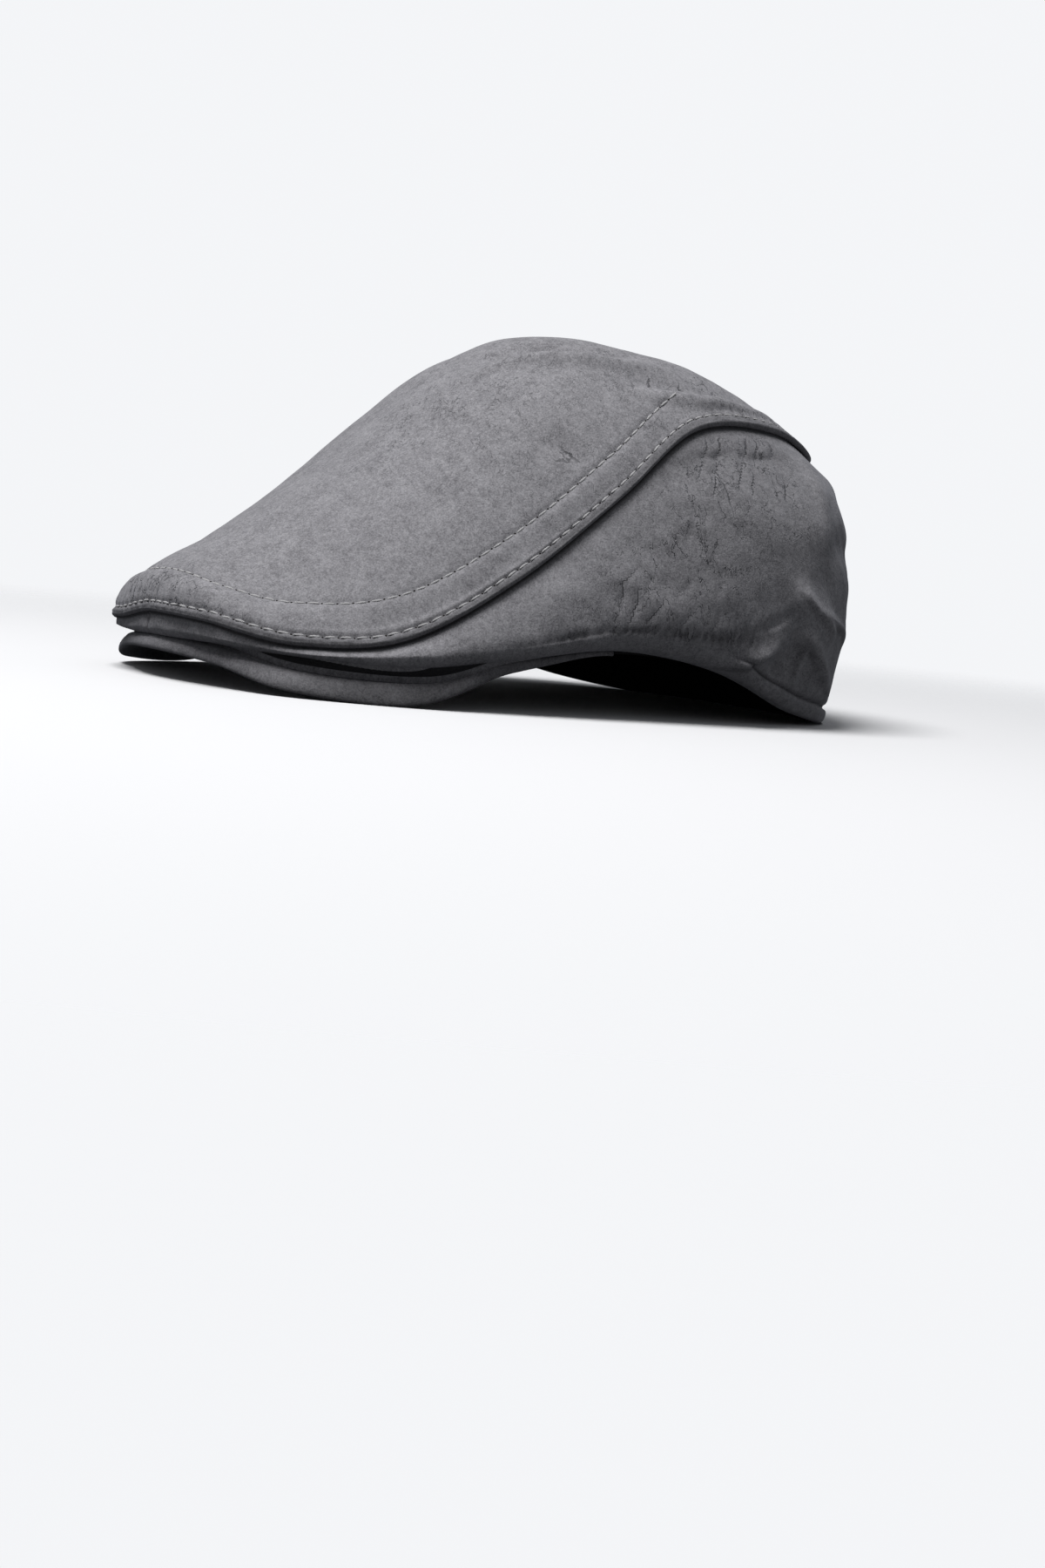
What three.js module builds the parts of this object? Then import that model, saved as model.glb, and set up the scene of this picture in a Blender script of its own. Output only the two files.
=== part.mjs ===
// Flat cap: a domed top panel lapped over two side panels, a cloth covered peak and an
// inner head band, as walls of their real thickness. Millimetres, +Z up, the peak points
// to minus Y and +X is the wearer's left. The cap stands on the floor at Z 0, on the back
// of its hem and the two lower corners of the peak.

import * as THREE from 'three';
import { mergeVertices } from 'three/addons/utils/BufferGeometryUtils.js';

// Overall size of the cap
const capLength = 268;
const capWidth = 193;
const capHeight = 129;

// Cloth walls, and the clearance that neighbouring pieces keep
const clothWall = 2;
const hemWall = 3.6;
const seamGap = 0.3;

// The top panel's folded edge laps over the side panels and stands proud of them
const seamLap = 8;
const foldRaise = 0.9;
const foldWidth = 5;

// The peak is a stiff board in cloth, thinner towards the two tips under the side panels
const peakWall = 4;
const peakTipWall = 1.6;
const PEAK_TUCK = 0.6; // share of the rim's width that hides the tip

// The head band inside
const bandWall = 1.5;
const bandTall = 28;
const bandLift = 1;
const bandLean = 6;

// Number of steps from the centre front to the centre back in the guide tables
const PLACES = 9;
const PEAK_TIP = 5 / PLACES;

// Guide lines from the centre front to the centre back, one row for each place. across is
// a share of half the width, along a share of half the length with the front as minus,
// and up a share of the height. The other half of the cap mirrors them.

// The top panel's edge. curl is the power of the curve from the crown down to the edge.
const SEAM = [
  { across: 0.0, along: -0.995, up: 0.172, curl: 1.5 },
  { across: 0.391, along: -0.957, up: 0.164, curl: 1.7 },
  { across: 0.654, along: -0.806, up: 0.133, curl: 2.2 },
  { across: 0.819, along: -0.584, up: 0.168, curl: 2.6 },
  { across: 0.863, along: -0.306, up: 0.337, curl: 2.7 },
  { across: 0.822, along: -0.016, up: 0.563, curl: 2.6 },
  { across: 0.728, along: 0.25, up: 0.768, curl: 2.5 },
  { across: 0.645, along: 0.553, up: 0.795, curl: 2.4 },
  { across: 0.442, along: 0.8, up: 0.735, curl: 2.8 },
  { across: 0.0, along: 0.912, up: 0.722, curl: 3.4 },
];

// The widest line of the side panel. full is the power of the curve above it.
const BELLY = [
  { across: 0.0, along: -0.981, up: 0.135, full: 1.5 },
  { across: 0.367, along: -0.945, up: 0.126, full: 1.5 },
  { across: 0.66, along: -0.806, up: 0.108, full: 1.5 },
  { across: 0.847, along: -0.584, up: 0.125, full: 1.6 },
  { across: 0.934, along: -0.309, up: 0.173, full: 1.8 },
  { across: 0.976, along: -0.011, up: 0.243, full: 1.8 },
  { across: 1.02, along: 0.29, up: 0.312, full: 1.8 },
  { across: 0.948, along: 0.577, up: 0.36, full: 2.2 },
  { across: 0.668, along: 0.831, up: 0.398, full: 2.6 },
  { across: 0.0, along: 1.0, up: 0.429, full: 2.8 },
];

// The lower edge of the side panel. roll is 1 where the cloth rolls in under the cap and
// 0 where it runs straight down to the hem.
const RIM = [
  { across: 0.0, along: -0.968, up: 0.108, roll: 0.4 },
  { across: 0.358, along: -0.912, up: 0.107, roll: 0.4 },
  { across: 0.64, along: -0.769, up: 0.099, roll: 0.5 },
  { across: 0.82, along: -0.554, up: 0.098, roll: 0.7 },
  { across: 0.881, along: -0.294, up: 0.137, roll: 1.0 },
  { across: 0.878, along: -0.011, up: 0.174, roll: 1.0 },
  { across: 0.894, along: 0.29, up: 0.14, roll: 0.9 },
  { across: 0.848, along: 0.566, up: 0.045, roll: 0.3 },
  { across: 0.619, along: 0.828, up: 0.0, roll: 0.0 },
  { across: 0.0, along: 0.921, up: 0.0, roll: 0.0 },
];

// The underside of the peak's outer edge, as far as its tip.
const PEAK = [
  { across: 0.0, along: -0.981, up: 0.065 },
  { across: 0.363, along: -0.928, up: 0.05 },
  { across: 0.655, along: -0.825, up: 0.006 },
  { across: 0.855, along: -0.56, up: -0.002 },
  { across: 0.893, along: -0.336, up: 0.093 },
  { across: 0.87, along: -0.067, up: 0.16 },
  { across: 0.87, along: 0.2, up: 0.16 },
];

// The head opening's front line, which is the peak's inner edge. arch is the power of
// the curve of the peak between its two edges.
const BROW = [
  { across: 0.0, along: -0.575, up: 0.185, arch: 1.5 },
  { across: 0.27, along: -0.555, up: 0.18, arch: 1.6 },
  { across: 0.5, along: -0.485, up: 0.163, arch: 1.8 },
  { across: 0.665, along: -0.365, up: 0.137, arch: 2.4 },
  { across: 0.78, along: -0.215, up: 0.118, arch: 1.4 },
  { across: 0.828, along: -0.01, up: 0.15, arch: 1.0 },
  { across: 0.85, along: 0.26, up: 0.15, arch: 1.0 },
];

// The crown's line from front to back, over the middle of the cap.
const RIDGE = [
  { along: -0.999, up: 0.173 },
  { along: -0.93, up: 0.287 },
  { along: -0.77, up: 0.394 },
  { along: -0.55, up: 0.549 },
  { along: -0.303, up: 0.774 },
  { along: -0.031, up: 0.97 },
  { along: 0.267, up: 0.994 },
  { along: 0.548, up: 0.931 },
  { along: 0.787, up: 0.838 },
  { along: 0.911, up: 0.782 },
];

// Ends of the crown's spine, from which the cloth falls to the edge, as shares of half
// the length.
const SPINE = { front: -0.7, back: 0.66 };

// Folds of the top panel, each from one point of its plan to another. across and along
// are shares as above, width and rise shares of the height. A dent's rise is minus.
const TOP_FOLDS = [
  { name: 'crown crease', across: 0.2, along: -0.08, toAcross: 0.4, toAlong: 0.18, width: 0.06, rise: -0.01 },
  { name: 'back crease', across: 0.57, along: 0.04, toAcross: 0.45, toAlong: 0.62, width: 0.05, rise: -0.014 },
  { name: 'front hollow', across: 0.16, along: -0.42, toAcross: 0.6, toAlong: -0.36, width: 0.14, rise: -0.016 },
  { name: 'shoulder swell', across: 0.62, along: -0.24, toAcross: 0.64, toAlong: 0.02, width: 0.12, rise: 0.012 },
];

// Folds of the side panel. turn runs from 0 at the centre front to 1 at the centre back
// and down from 0 at the seam to 1 at the rim.
const SIDE_FOLDS = [
  { name: 'seam dent', turn: 0.62, down: 0.07, toTurn: 0.75, toDown: 0.1, width: 0.06, rise: -0.018 },
  { name: 'back rib', turn: 0.81, down: 0.07, toTurn: 0.78, toDown: 0.34, width: 0.07, rise: 0.018 },
  { name: 'temple hollow', turn: 0.6, down: 0.4, toTurn: 0.71, toDown: 0.58, width: 0.17, rise: -0.02 },
  { name: 'upper pucker', turn: 0.75, down: 0.6, toTurn: 0.8, toDown: 0.72, width: 0.05, rise: 0.02 },
  { name: 'rear pucker', turn: 0.8, down: 0.67, toTurn: 0.855, toDown: 0.75, width: 0.055, rise: 0.008 },
  { name: 'lower pucker', turn: 0.765, down: 0.73, toTurn: 0.83, toDown: 0.91, width: 0.045, rise: 0.022 },
  { name: 'hem flap', turn: 0.68, down: 0.87, toTurn: 0.72, toDown: 0.76, width: 0.045, rise: 0.014 },
  { name: 'hem pocket', turn: 0.728, down: 0.86, toTurn: 0.752, toDown: 0.79, width: 0.065, rise: -0.03 },
];

// Mesh steps: places round half the cap, and rows down each piece
const STEPS = 36;
const PUCKERS = { from: 0.68, to: 0.85 };
const CROWN_ROWS = [0, 0.2, 0.4, 0.6, 0.78, 0.92];
const UPPER_ROWS = [0.15, 0.35, 0.55, 0.78, 1];
const LOWER_ROWS = [0.3, 0.6, 0.85, 1];
const TURN_IN_ROWS = [0.25, 0.5, 0.75, 1];
const PEAK_ROWS = [0.25, 0.5, 0.75, 1];

const UP = new THREE.Vector3(0, 0, 1);

function mix(a, b, share) {
  return a + (b - a) * share;
}

function ease(value, start, end) {
  const share = THREE.MathUtils.clamp((value - start) / (end - start), 0, 1);
  return share * share * (3 - 2 * share);
}

function blended(a, b, share) {
  return new THREE.Vector3().lerpVectors(a, b, share);
}

// A table's value at a row. The full tables are mirrored past the centre front and the
// centre back, and a table that stops earlier keeps its last value.
function rowValue(rows, column, index) {
  const sign = column === 'across' ? -1 : 1;
  const last = rows.length - 1;
  if (index < 0) {
    return sign * rows[-index][column];
  }
  if (index > last && last === PLACES) {
    return sign * rows[2 * PLACES - index][column];
  }
  return rows[Math.min(index, last)][column];
}

// A smooth curve through a table's column, for a turn from 0 to 1.
function smooth(rows, column, turn) {
  const index = Math.min(Math.floor(turn * PLACES), PLACES - 1);
  const share = turn * PLACES - index;
  const [a, b, c, d] = [-1, 0, 1, 2].map((step) => rowValue(rows, column, index + step));
  return 0.5 * (2 * b + (c - a) * share + (2 * a - 5 * b + 4 * c - d) * share ** 2
    + (3 * b - a - 3 * c + d) * share ** 3);
}

// The point of a guide line at a turn.
function guide(rows, turn) {
  return new THREE.Vector3(
    smooth(rows, 'across', turn) * capWidth / 2,
    smooth(rows, 'along', turn) * capLength / 2,
    smooth(rows, 'up', turn) * capHeight,
  );
}

// The three lines that the side panel hangs between. The rim lies flat on the floor where
// it would sink into it.
function seamLine(turn) {
  return guide(SEAM, turn);
}

function bellyLine(turn) {
  return guide(BELLY, turn);
}

function rimLine(turn) {
  const point = guide(RIM, turn);
  return point.setZ(Math.max(point.z, 0));
}

// Level direction that points out from a line at a turn.
function outward(line, turn) {
  const step = 0.01;
  if (turn < step) {
    return new THREE.Vector3(0, -1, 0);
  }
  if (turn > 1 - step) {
    return new THREE.Vector3(0, 1, 0);
  }
  const run = line(turn + step).sub(line(turn - step));
  return new THREE.Vector3(run.y, -run.x, 0).normalize();
}

// Height of the crown's line at a place along the cap.
function ridgeHeight(y) {
  const knots = RIDGE.map((row) => row.along * capLength / 2);
  const heights = RIDGE.map((row) => row.up * capHeight);
  const last = knots.length - 1;
  const slopes = knots.map((_, i) => {
    const before = Math.max(i - 1, 0);
    const after = Math.min(i + 1, last);
    return (heights[after] - heights[before]) / (knots[after] - knots[before]);
  });
  const place = THREE.MathUtils.clamp(y, knots[0], knots[last]);
  const i = Math.min(knots.findLastIndex((knot) => knot <= place), last - 1);
  const span = knots[i + 1] - knots[i];
  const share = (place - knots[i]) / span;
  return (1 + 2 * share) * (1 - share) ** 2 * heights[i]
    + share * (1 - share) ** 2 * span * slopes[i]
    + share ** 2 * (3 - 2 * share) * heights[i + 1]
    + share ** 2 * (share - 1) * span * slopes[i + 1];
}

// How far a point stands out of its surface through the folds in a table. Each fold is a
// round topped bank along a line, and from and to give its ends in millimetres.
function foldHeight(folds, point) {
  let height = 0;
  for (const fold of folds) {
    const line = new THREE.Line3(fold.from, fold.to);
    const nearest = line.closestPointToPoint(point, true, new THREE.Vector3());
    const offset = nearest.distanceTo(point) / (fold.width * capHeight);
    height += fold.rise * capHeight * Math.exp(-(offset ** 2));
  }
  return height;
}

const topFolds = TOP_FOLDS.map((fold) => ({
  ...fold,
  from: new THREE.Vector3(fold.across * capWidth / 2, fold.along * capLength / 2, 0),
  to: new THREE.Vector3(fold.toAcross * capWidth / 2, fold.toAlong * capLength / 2, 0),
}));

// The top panel's outer surface. out is 0 on the crown's spine and 1 at the edge.
function crown(turn, out) {
  const edge = seamLine(turn);
  const front = SEAM[0].along * capLength / 2;
  const back = SEAM[PLACES].along * capLength / 2;
  const spine = mix(SPINE.front, SPINE.back, (edge.y - front) / (back - front)) * capLength / 2;
  const point = new THREE.Vector3(edge.x * out, mix(spine, edge.y, out), 0);
  const drop = ridgeHeight(edge.y) - edge.z;
  const fold = foldHeight(topFolds, point) * (1 - Math.abs(out) ** 4);
  point.z = ridgeHeight(point.y) - drop * Math.abs(out) ** smooth(SEAM, 'curl', turn) + fold;
  return point;
}

// Direction that points out of the top panel.
function crownNormal(turn, out) {
  const step = 0.004;
  const place = THREE.MathUtils.clamp(turn, step, 1 - step);
  const share = Math.max(out, 0.1);
  const round = crown(place + step, share).sub(crown(place - step, share));
  const down = crown(place, share).sub(crown(place, share - step));
  const normal = down.cross(round);
  if (turn < step || turn > 1 - step || out < step) {
    normal.x = 0;
  }
  return normal.normalize();
}

// The share of the way in from the edge that a distance over the top panel makes.
function insetShare(turn, distance) {
  const sample = 0.1;
  return distance * sample / crown(turn, 1).distanceTo(crown(turn, 1 - sample));
}

function crownLayer(turn, out, depth) {
  return crown(turn, out).addScaledVector(crownNormal(turn, out), -depth);
}

// How far the head opening has gone over from the peak's inner edge to the rim.
function rimShare(turn) {
  return ease(turn, 3 / PLACES, 6.5 / PLACES);
}

// The line of the head opening, which the head band, the peak and the turned in cloth share.
function headLine(turn) {
  const rim = rimLine(turn).addScaledVector(outward(rimLine, turn), -hemWall - seamGap);
  return blended(guide(BROW, turn), rim, rimShare(turn)).setZ(0);
}

// The same line one gap further out, where the pieces round the head band end.
function pieceLine(turn) {
  return headLine(turn).addScaledVector(outward(headLine, turn), seamGap);
}

// How close a turn is to the tip of the peak, where the peak runs out under the rim.
function tipShare(turn) {
  return ease(turn, 0.4, PEAK_TIP);
}

function peakThickness(turn) {
  return mix(peakWall, peakTipWall, tipShare(turn));
}

// The peak's upper face. inner is 0 at the outer edge and 1 at the head opening. Past its
// tip the same function gives the level of the rim.
function peakTop(turn, inner) {
  const rim = rimLine(turn);
  const edge = guide(PEAK, turn);
  const brow = guide(BROW, turn);
  const tip = tipShare(turn);
  const outer = blended(edge, rim, tip);
  const rise = 1 - (1 - inner) ** smooth(BROW, 'arch', turn);
  const height = mix(edge.z, brow.z, rise) + peakThickness(turn);
  return blended(outer, pieceLine(turn), inner).setZ(mix(height, rim.z - seamGap, tip));
}

// Share of the wall that belongs to the hem rather than to the cloth on the peak.
function hemShare(turn) {
  return 1 - Math.max(THREE.MathUtils.clamp(smooth(RIM, 'roll', turn), 0, 1), 1 - tipShare(turn));
}

// The side panel under the edge of the top panel, out being as for the top panel.
function sideLap(turn, out, depth) {
  return crownLayer(turn, out, clothWall + seamGap + depth);
}

// The side panel from the seam to its widest line, down being 0 to 1.
function sideUpper(turn, down, depth) {
  const start = sideLap(turn, 1, depth);
  const belly = bellyLine(turn).addScaledVector(outward(bellyLine, turn), -depth);
  const out = 1 - (1 - down) ** smooth(BELLY, 'full', turn);
  return blended(start, belly, out).setZ(mix(start.z, belly.z, down));
}

// The side panel from its widest line to the rim, down being 0 to 1.
function sideLower(turn, down, depth) {
  const roll = THREE.MathUtils.clamp(smooth(RIM, 'roll', turn), 0, 1);
  const corner = Math.max(roll, 1 - roll);
  const belly = bellyLine(turn).addScaledVector(outward(bellyLine, turn), -depth);
  const rim = rimLine(turn);
  rim.addScaledVector(outward(rimLine, turn), -depth * (1 - roll) / corner);
  rim.addScaledVector(UP, depth * Math.max(roll / corner, hemShare(turn)));
  const angle = down * Math.PI / 2;
  const inward = mix(down ** 2, 1 - Math.cos(angle), roll);
  const fall = mix(down, Math.sin(angle), roll);
  return blended(belly, rim, inward).setZ(mix(belly.z, rim.z, fall));
}

// The cloth turned in from the rim to the head line, over the peak or over the hem.
function turnIn(turn, inner, raised) {
  const point = peakTop(turn, inner).addScaledVector(UP, seamGap);
  if (!raised) {
    return point;
  }
  const hem = hemShare(turn);
  const seat = pieceLine(turn).setZ(rimLine(turn).z + hemWall * (1 - 0.8 * inner));
  return blended(point.addScaledVector(UP, clothWall), seat, hem);
}

// One closed body between an outer and an inner sheet of points, given as rows of places.
// A closed ring joins its last place to its first. A folded sheet's first row runs there
// and back along one line, so it needs no edge of its own.
function wallBetween(outer, inner, { ring = false, folded = false } = {}) {
  const rows = outer.length;
  const places = outer[0].length;
  const positions = [];
  const patch = (a, b, c, d) => {
    const corners = a.distanceTo(c) <= b.distanceTo(d) ? [a, b, c, a, c, d] : [a, b, d, b, c, d];
    positions.push(...corners.flatMap((point) => point.toArray()));
  };
  const steps = ring ? places : places - 1;
  for (let i = 0; i < steps; i += 1) {
    const next = (i + 1) % places;
    for (let row = 0; row < rows - 1; row += 1) {
      patch(outer[row][i], outer[row + 1][i], outer[row + 1][next], outer[row][next]);
      patch(inner[row][i], inner[row][next], inner[row + 1][next], inner[row + 1][i]);
    }
    if (!folded) {
      patch(outer[0][i], outer[0][next], inner[0][next], inner[0][i]);
    }
    patch(outer[rows - 1][i], inner[rows - 1][i], inner[rows - 1][next], outer[rows - 1][next]);
  }
  if (!ring) {
    for (let row = 0; row < rows - 1; row += 1) {
      const end = places - 1;
      patch(outer[row][0], inner[row][0], inner[row + 1][0], outer[row + 1][0]);
      patch(outer[row][end], outer[row + 1][end], inner[row + 1][end], inner[row][end]);
    }
  }
  return solid(positions);
}

// Joins a list of triangle corners into one closed mesh and drops the empty triangles.
function solid(positions) {
  const loose = new THREE.BufferGeometry();
  loose.setAttribute('position', new THREE.Float32BufferAttribute(positions, 3));
  const merged = mergeVertices(loose, 1e-3);
  const index = merged.getIndex();
  const kept = [];
  for (let i = 0; i < index.count; i += 3) {
    const [a, b, c] = [0, 1, 2].map((step) => index.getX(i + step));
    if (a !== b && b !== c && c !== a) {
      kept.push(a, b, c);
    }
  }
  merged.setIndex(kept);
  merged.computeVertexNormals();
  return merged;
}

// Places round half the cap, as turns, closer together where the side panel puckers.
const TURNS = Array.from({ length: STEPS + 1 }, (_, i) => i / STEPS).flatMap((turn) => (
  turn > PUCKERS.from && turn < PUCKERS.to ? [turn, turn + 0.5 / STEPS] : [turn]
));

function mirror(point) {
  return new THREE.Vector3(-point.x, point.y, point.z);
}

// A ring of points round the whole cap from a function of the turn.
function ringOf(pointAt) {
  const near = TURNS.map(pointAt);
  const far = near.slice(1, -1).reverse().map(mirror);
  return [...near, ...far];
}

// Rows of the top panel from the spine to the edge, as shares of the way out.
function crownOuts(turn) {
  const lap = insetShare(turn, seamLap);
  const fold = insetShare(turn, foldWidth);
  const rest = CROWN_ROWS.map((share) => share * (1 - lap));
  return [...rest, 1 - lap, 1 - fold, 1];
}

function topPanel() {
  const rows = crownOuts(0).length;
  const outer = [];
  const inner = [];
  for (let row = 0; row < rows; row += 1) {
    outer.push(ringOf((turn) => crownLayer(turn, crownOuts(turn)[row], row > rows - 2 ? -foldRaise : 0)));
    inner.push(ringOf((turn) => crownLayer(turn, crownOuts(turn)[row], clothWall)));
  }
  return wallBetween(outer, inner, { ring: true, folded: true });
}

const sideFolds = SIDE_FOLDS.map((fold) => ({
  ...fold,
  from: panelPoint(fold.turn, fold.down),
  to: panelPoint(fold.toTurn, fold.toDown),
}));

// A point of the side panel's smooth outer surface, down running from the seam to the rim.
function panelPoint(turn, down) {
  const bellyShare = 0.6;
  return down < bellyShare
    ? sideUpper(turn, down / bellyShare, 0)
    : sideLower(turn, (down - bellyShare) / (1 - bellyShare), 0);
}

// Moves a point of the side panel out by the folds, less and less towards its edges.
function pleated(point, turn, share) {
  return point.addScaledVector(outward(bellyLine, turn), foldHeight(sideFolds, point) * share);
}

function sidePanel(isLeft) {
  const outer = [];
  const inner = [];
  const add = (outside, inside) => {
    outer.push(TURNS.map(outside));
    inner.push(TURNS.map(inside));
  };
  for (const share of [1, foldWidth / seamLap, 0]) {
    const out = (turn) => 1 - insetShare(turn, seamLap) * share;
    add((turn) => sideLap(turn, out(turn), 0), (turn) => sideLap(turn, out(turn), clothWall));
  }
  for (const down of UPPER_ROWS) {
    const spread = Math.min(1, down * 3);
    add(
      (turn) => pleated(sideUpper(turn, down, 0), turn, spread),
      (turn) => pleated(sideUpper(turn, down, clothWall), turn, spread),
    );
  }
  for (const down of LOWER_ROWS) {
    const spread = 1 - down ** 3;
    const depth = (turn) => mix(clothWall, hemWall, hemShare(turn) * down ** 2);
    add(
      (turn) => pleated(sideLower(turn, down, 0), turn, spread),
      (turn) => pleated(sideLower(turn, down, depth(turn)), turn, spread),
    );
  }
  for (const share of TURN_IN_ROWS) {
    add((turn) => turnIn(turn, share, false), (turn) => turnIn(turn, share, true));
  }
  const trimmed = [outer, inner].map((rows) => rows.map((row) => row.map((point) => {
    point.x = Math.max(point.x, seamGap / 2);
    return isLeft ? point : mirror(point);
  })));
  return isLeft ? wallBetween(trimmed[0], trimmed[1]) : wallBetween(trimmed[1], trimmed[0]);
}

// The peak's rows from its rounded outer edge to the head opening, with the share of the
// half thickness that each has.
function peakRows(turn) {
  const half = peakThickness(turn) / 2;
  const start = PEAK_TUCK * tipShare(turn);
  const width = peakTop(turn, start).distanceTo(peakTop(turn, 1));
  const nose = Math.min(half / width, 0.4);
  const rows = [
    { inner: 0, thick: 0.45 },
    { inner: nose * 0.3, thick: 0.8 },
    { inner: nose, thick: 1 },
  ];
  rows.push(...PEAK_ROWS.map((share) => ({ inner: mix(nose, 1, share), thick: 1 })));
  return rows.map((row) => ({ ...row, inner: mix(start, 1, row.inner) }));
}

function peak() {
  const near = TURNS.filter((turn) => turn < PEAK_TIP + 1e-6);
  const rows = peakRows(0).length;
  const faces = [-1, 1].map((face) => Array.from({ length: rows }, (_, row) => {
    const half = near.map((turn) => {
      const { inner, thick } = peakRows(turn)[row];
      const middle = peakThickness(turn) / 2;
      return peakTop(turn, inner).addScaledVector(UP, middle * (face * thick - 1));
    });
    return [...half.slice(1).reverse().map(mirror), ...half];
  }));
  return wallBetween(faces[0], faces[1]);
}

function headBand() {
  const foot = (turn) => {
    const low = mix(guide(BROW, turn).z, rimLine(turn).z + bandLift, rimShare(turn));
    return headLine(turn).setZ(low);
  };
  const sheet = (depth) => [1, 0.5, 0].map((share) => ringOf((turn) => {
    const inset = foot(turn).addScaledVector(outward(headLine, turn), -depth - bandLean * share);
    return inset.addScaledVector(UP, bandTall * share);
  }));
  return wallBetween(sheet(0), sheet(bandWall), { ring: true });
}

const outerCloth = { color: 0x6a696d, roughness: 0.95, metalness: 0 };
const innerCloth = { color: 0x18181a, roughness: 0.9, metalness: 0 };

function piece(name, geometry, look) {
  const mesh = new THREE.Mesh(geometry, new THREE.MeshStandardMaterial(look));
  mesh.name = name;
  return mesh;
}

const cap = new THREE.Group();
cap.add(piece('top_panel', topPanel(), outerCloth));
cap.add(piece('side_panel_left', sidePanel(true), outerCloth));
cap.add(piece('side_panel_right', sidePanel(false), outerCloth));
cap.add(piece('peak', peak(), outerCloth));
cap.add(piece('head_band', headBand(), innerCloth));

export default cap;
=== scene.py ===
# %% [markdown]
# # A flat cap, piece by piece
# A flat cap is sewn from few pieces: one long top panel that runs from the nose over the crown
# to the back, two side panels, a short stiff peak and a band inside the head opening. This
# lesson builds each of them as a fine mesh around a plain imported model, which gives the sizes
# and the frame: metres, +Z up, the peak pointing to -Y and the wearer's left at +X.

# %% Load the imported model
import math

import bmesh
import bpy
import numpy as np
from mathutils import Matrix, Vector


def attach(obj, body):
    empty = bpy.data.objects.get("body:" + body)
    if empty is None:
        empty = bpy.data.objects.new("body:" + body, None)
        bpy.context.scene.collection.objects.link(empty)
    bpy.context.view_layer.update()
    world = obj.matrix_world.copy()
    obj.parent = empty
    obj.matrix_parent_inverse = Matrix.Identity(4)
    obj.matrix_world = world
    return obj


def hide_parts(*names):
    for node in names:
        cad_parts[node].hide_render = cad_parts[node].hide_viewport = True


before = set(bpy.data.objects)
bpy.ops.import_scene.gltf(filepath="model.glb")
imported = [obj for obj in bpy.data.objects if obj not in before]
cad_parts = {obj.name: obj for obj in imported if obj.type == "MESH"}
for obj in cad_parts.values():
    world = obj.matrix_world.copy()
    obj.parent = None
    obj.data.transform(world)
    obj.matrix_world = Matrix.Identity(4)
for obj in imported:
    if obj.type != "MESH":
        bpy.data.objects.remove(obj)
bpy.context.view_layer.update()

MM = 0.001
print("packed nodes:", sorted(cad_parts))

# %% [markdown]
# ## Sizes and guide lines
# A cap pattern is a handful of curves: the top panel's edge, the widest line of the side, the
# lower edge, the peak's edge and the brow. Each is a short table from the centre front to the
# centre back, and the other half mirrors it. Sizes are in millimetres until a mesh is made.
# Shares of three driving sizes keep the curves in proportion.

# %% Driving sizes
CAP_LENGTH, CAP_WIDTH, CAP_HEIGHT = 268, 193, 129
CLOTH, HEM_CLOTH, SEAM_GAP = 2.0, 3.6, 0.3
SEAM_LAP, FOLD_RAISE = 8.0, 0.5
PEAK_BOARD, PEAK_TIP_BOARD, PEAK_TUCK = 4.0, 1.6, 0.6
BAND_CLOTH, BAND_TALL, BAND_LIFT, BAND_LEAN = 1.5, 28.0, 1.0, 6.0
PLACES = 9
PEAK_TIP = 5 / PLACES


def table(columns, rows):
    """A dictionary of columns from rows that are written one place to a line."""
    return dict(zip(columns.split(), np.array(rows, float).T))


# %% Guide lines, as shares of half the width, half the length and the height
SEAM = table("across along up curl", [
    (0.000, -0.995, 0.172, 1.5),
    (0.391, -0.957, 0.164, 1.7),
    (0.654, -0.806, 0.133, 2.2),
    (0.819, -0.584, 0.168, 2.6),
    (0.863, -0.306, 0.337, 2.7),
    (0.822, -0.016, 0.563, 2.6),
    (0.728, 0.250, 0.768, 2.5),
    (0.645, 0.553, 0.795, 2.4),
    (0.442, 0.800, 0.735, 2.8),
    (0.000, 0.912, 0.722, 3.4),
])
BELLY = table("across along up full", [
    (0.000, -0.981, 0.135, 1.5),
    (0.367, -0.945, 0.126, 1.5),
    (0.660, -0.806, 0.108, 1.5),
    (0.847, -0.584, 0.125, 1.6),
    (0.934, -0.309, 0.173, 1.8),
    (0.976, -0.011, 0.243, 1.8),
    (1.020, 0.290, 0.312, 1.8),
    (0.948, 0.577, 0.360, 2.2),
    (0.668, 0.831, 0.398, 2.6),
    (0.000, 1.000, 0.429, 2.8),
])
RIM = table("across along up roll", [
    (0.000, -0.968, 0.108, 0.4),
    (0.358, -0.912, 0.107, 0.4),
    (0.640, -0.769, 0.099, 0.5),
    (0.820, -0.554, 0.098, 0.7),
    (0.881, -0.294, 0.137, 1.0),
    (0.878, -0.011, 0.174, 1.0),
    (0.894, 0.290, 0.140, 0.9),
    (0.848, 0.566, 0.045, 0.3),
    (0.619, 0.828, 0.000, 0.0),
    (0.000, 0.921, 0.000, 0.0),
])
PEAK = table("across along up", [
    (0.000, -0.981, 0.065),
    (0.363, -0.928, 0.050),
    (0.655, -0.825, 0.006),
    (0.855, -0.560, -0.002),
    (0.893, -0.336, 0.093),
    (0.870, -0.067, 0.160),
    (0.870, 0.200, 0.160),
])
BROW = table("across along up arch", [
    (0.000, -0.575, 0.185, 1.5),
    (0.270, -0.555, 0.180, 1.6),
    (0.500, -0.485, 0.163, 1.8),
    (0.665, -0.365, 0.137, 2.4),
    (0.780, -0.215, 0.118, 1.4),
    (0.828, -0.010, 0.150, 1.0),
    (0.850, 0.260, 0.150, 1.0),
])
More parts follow.
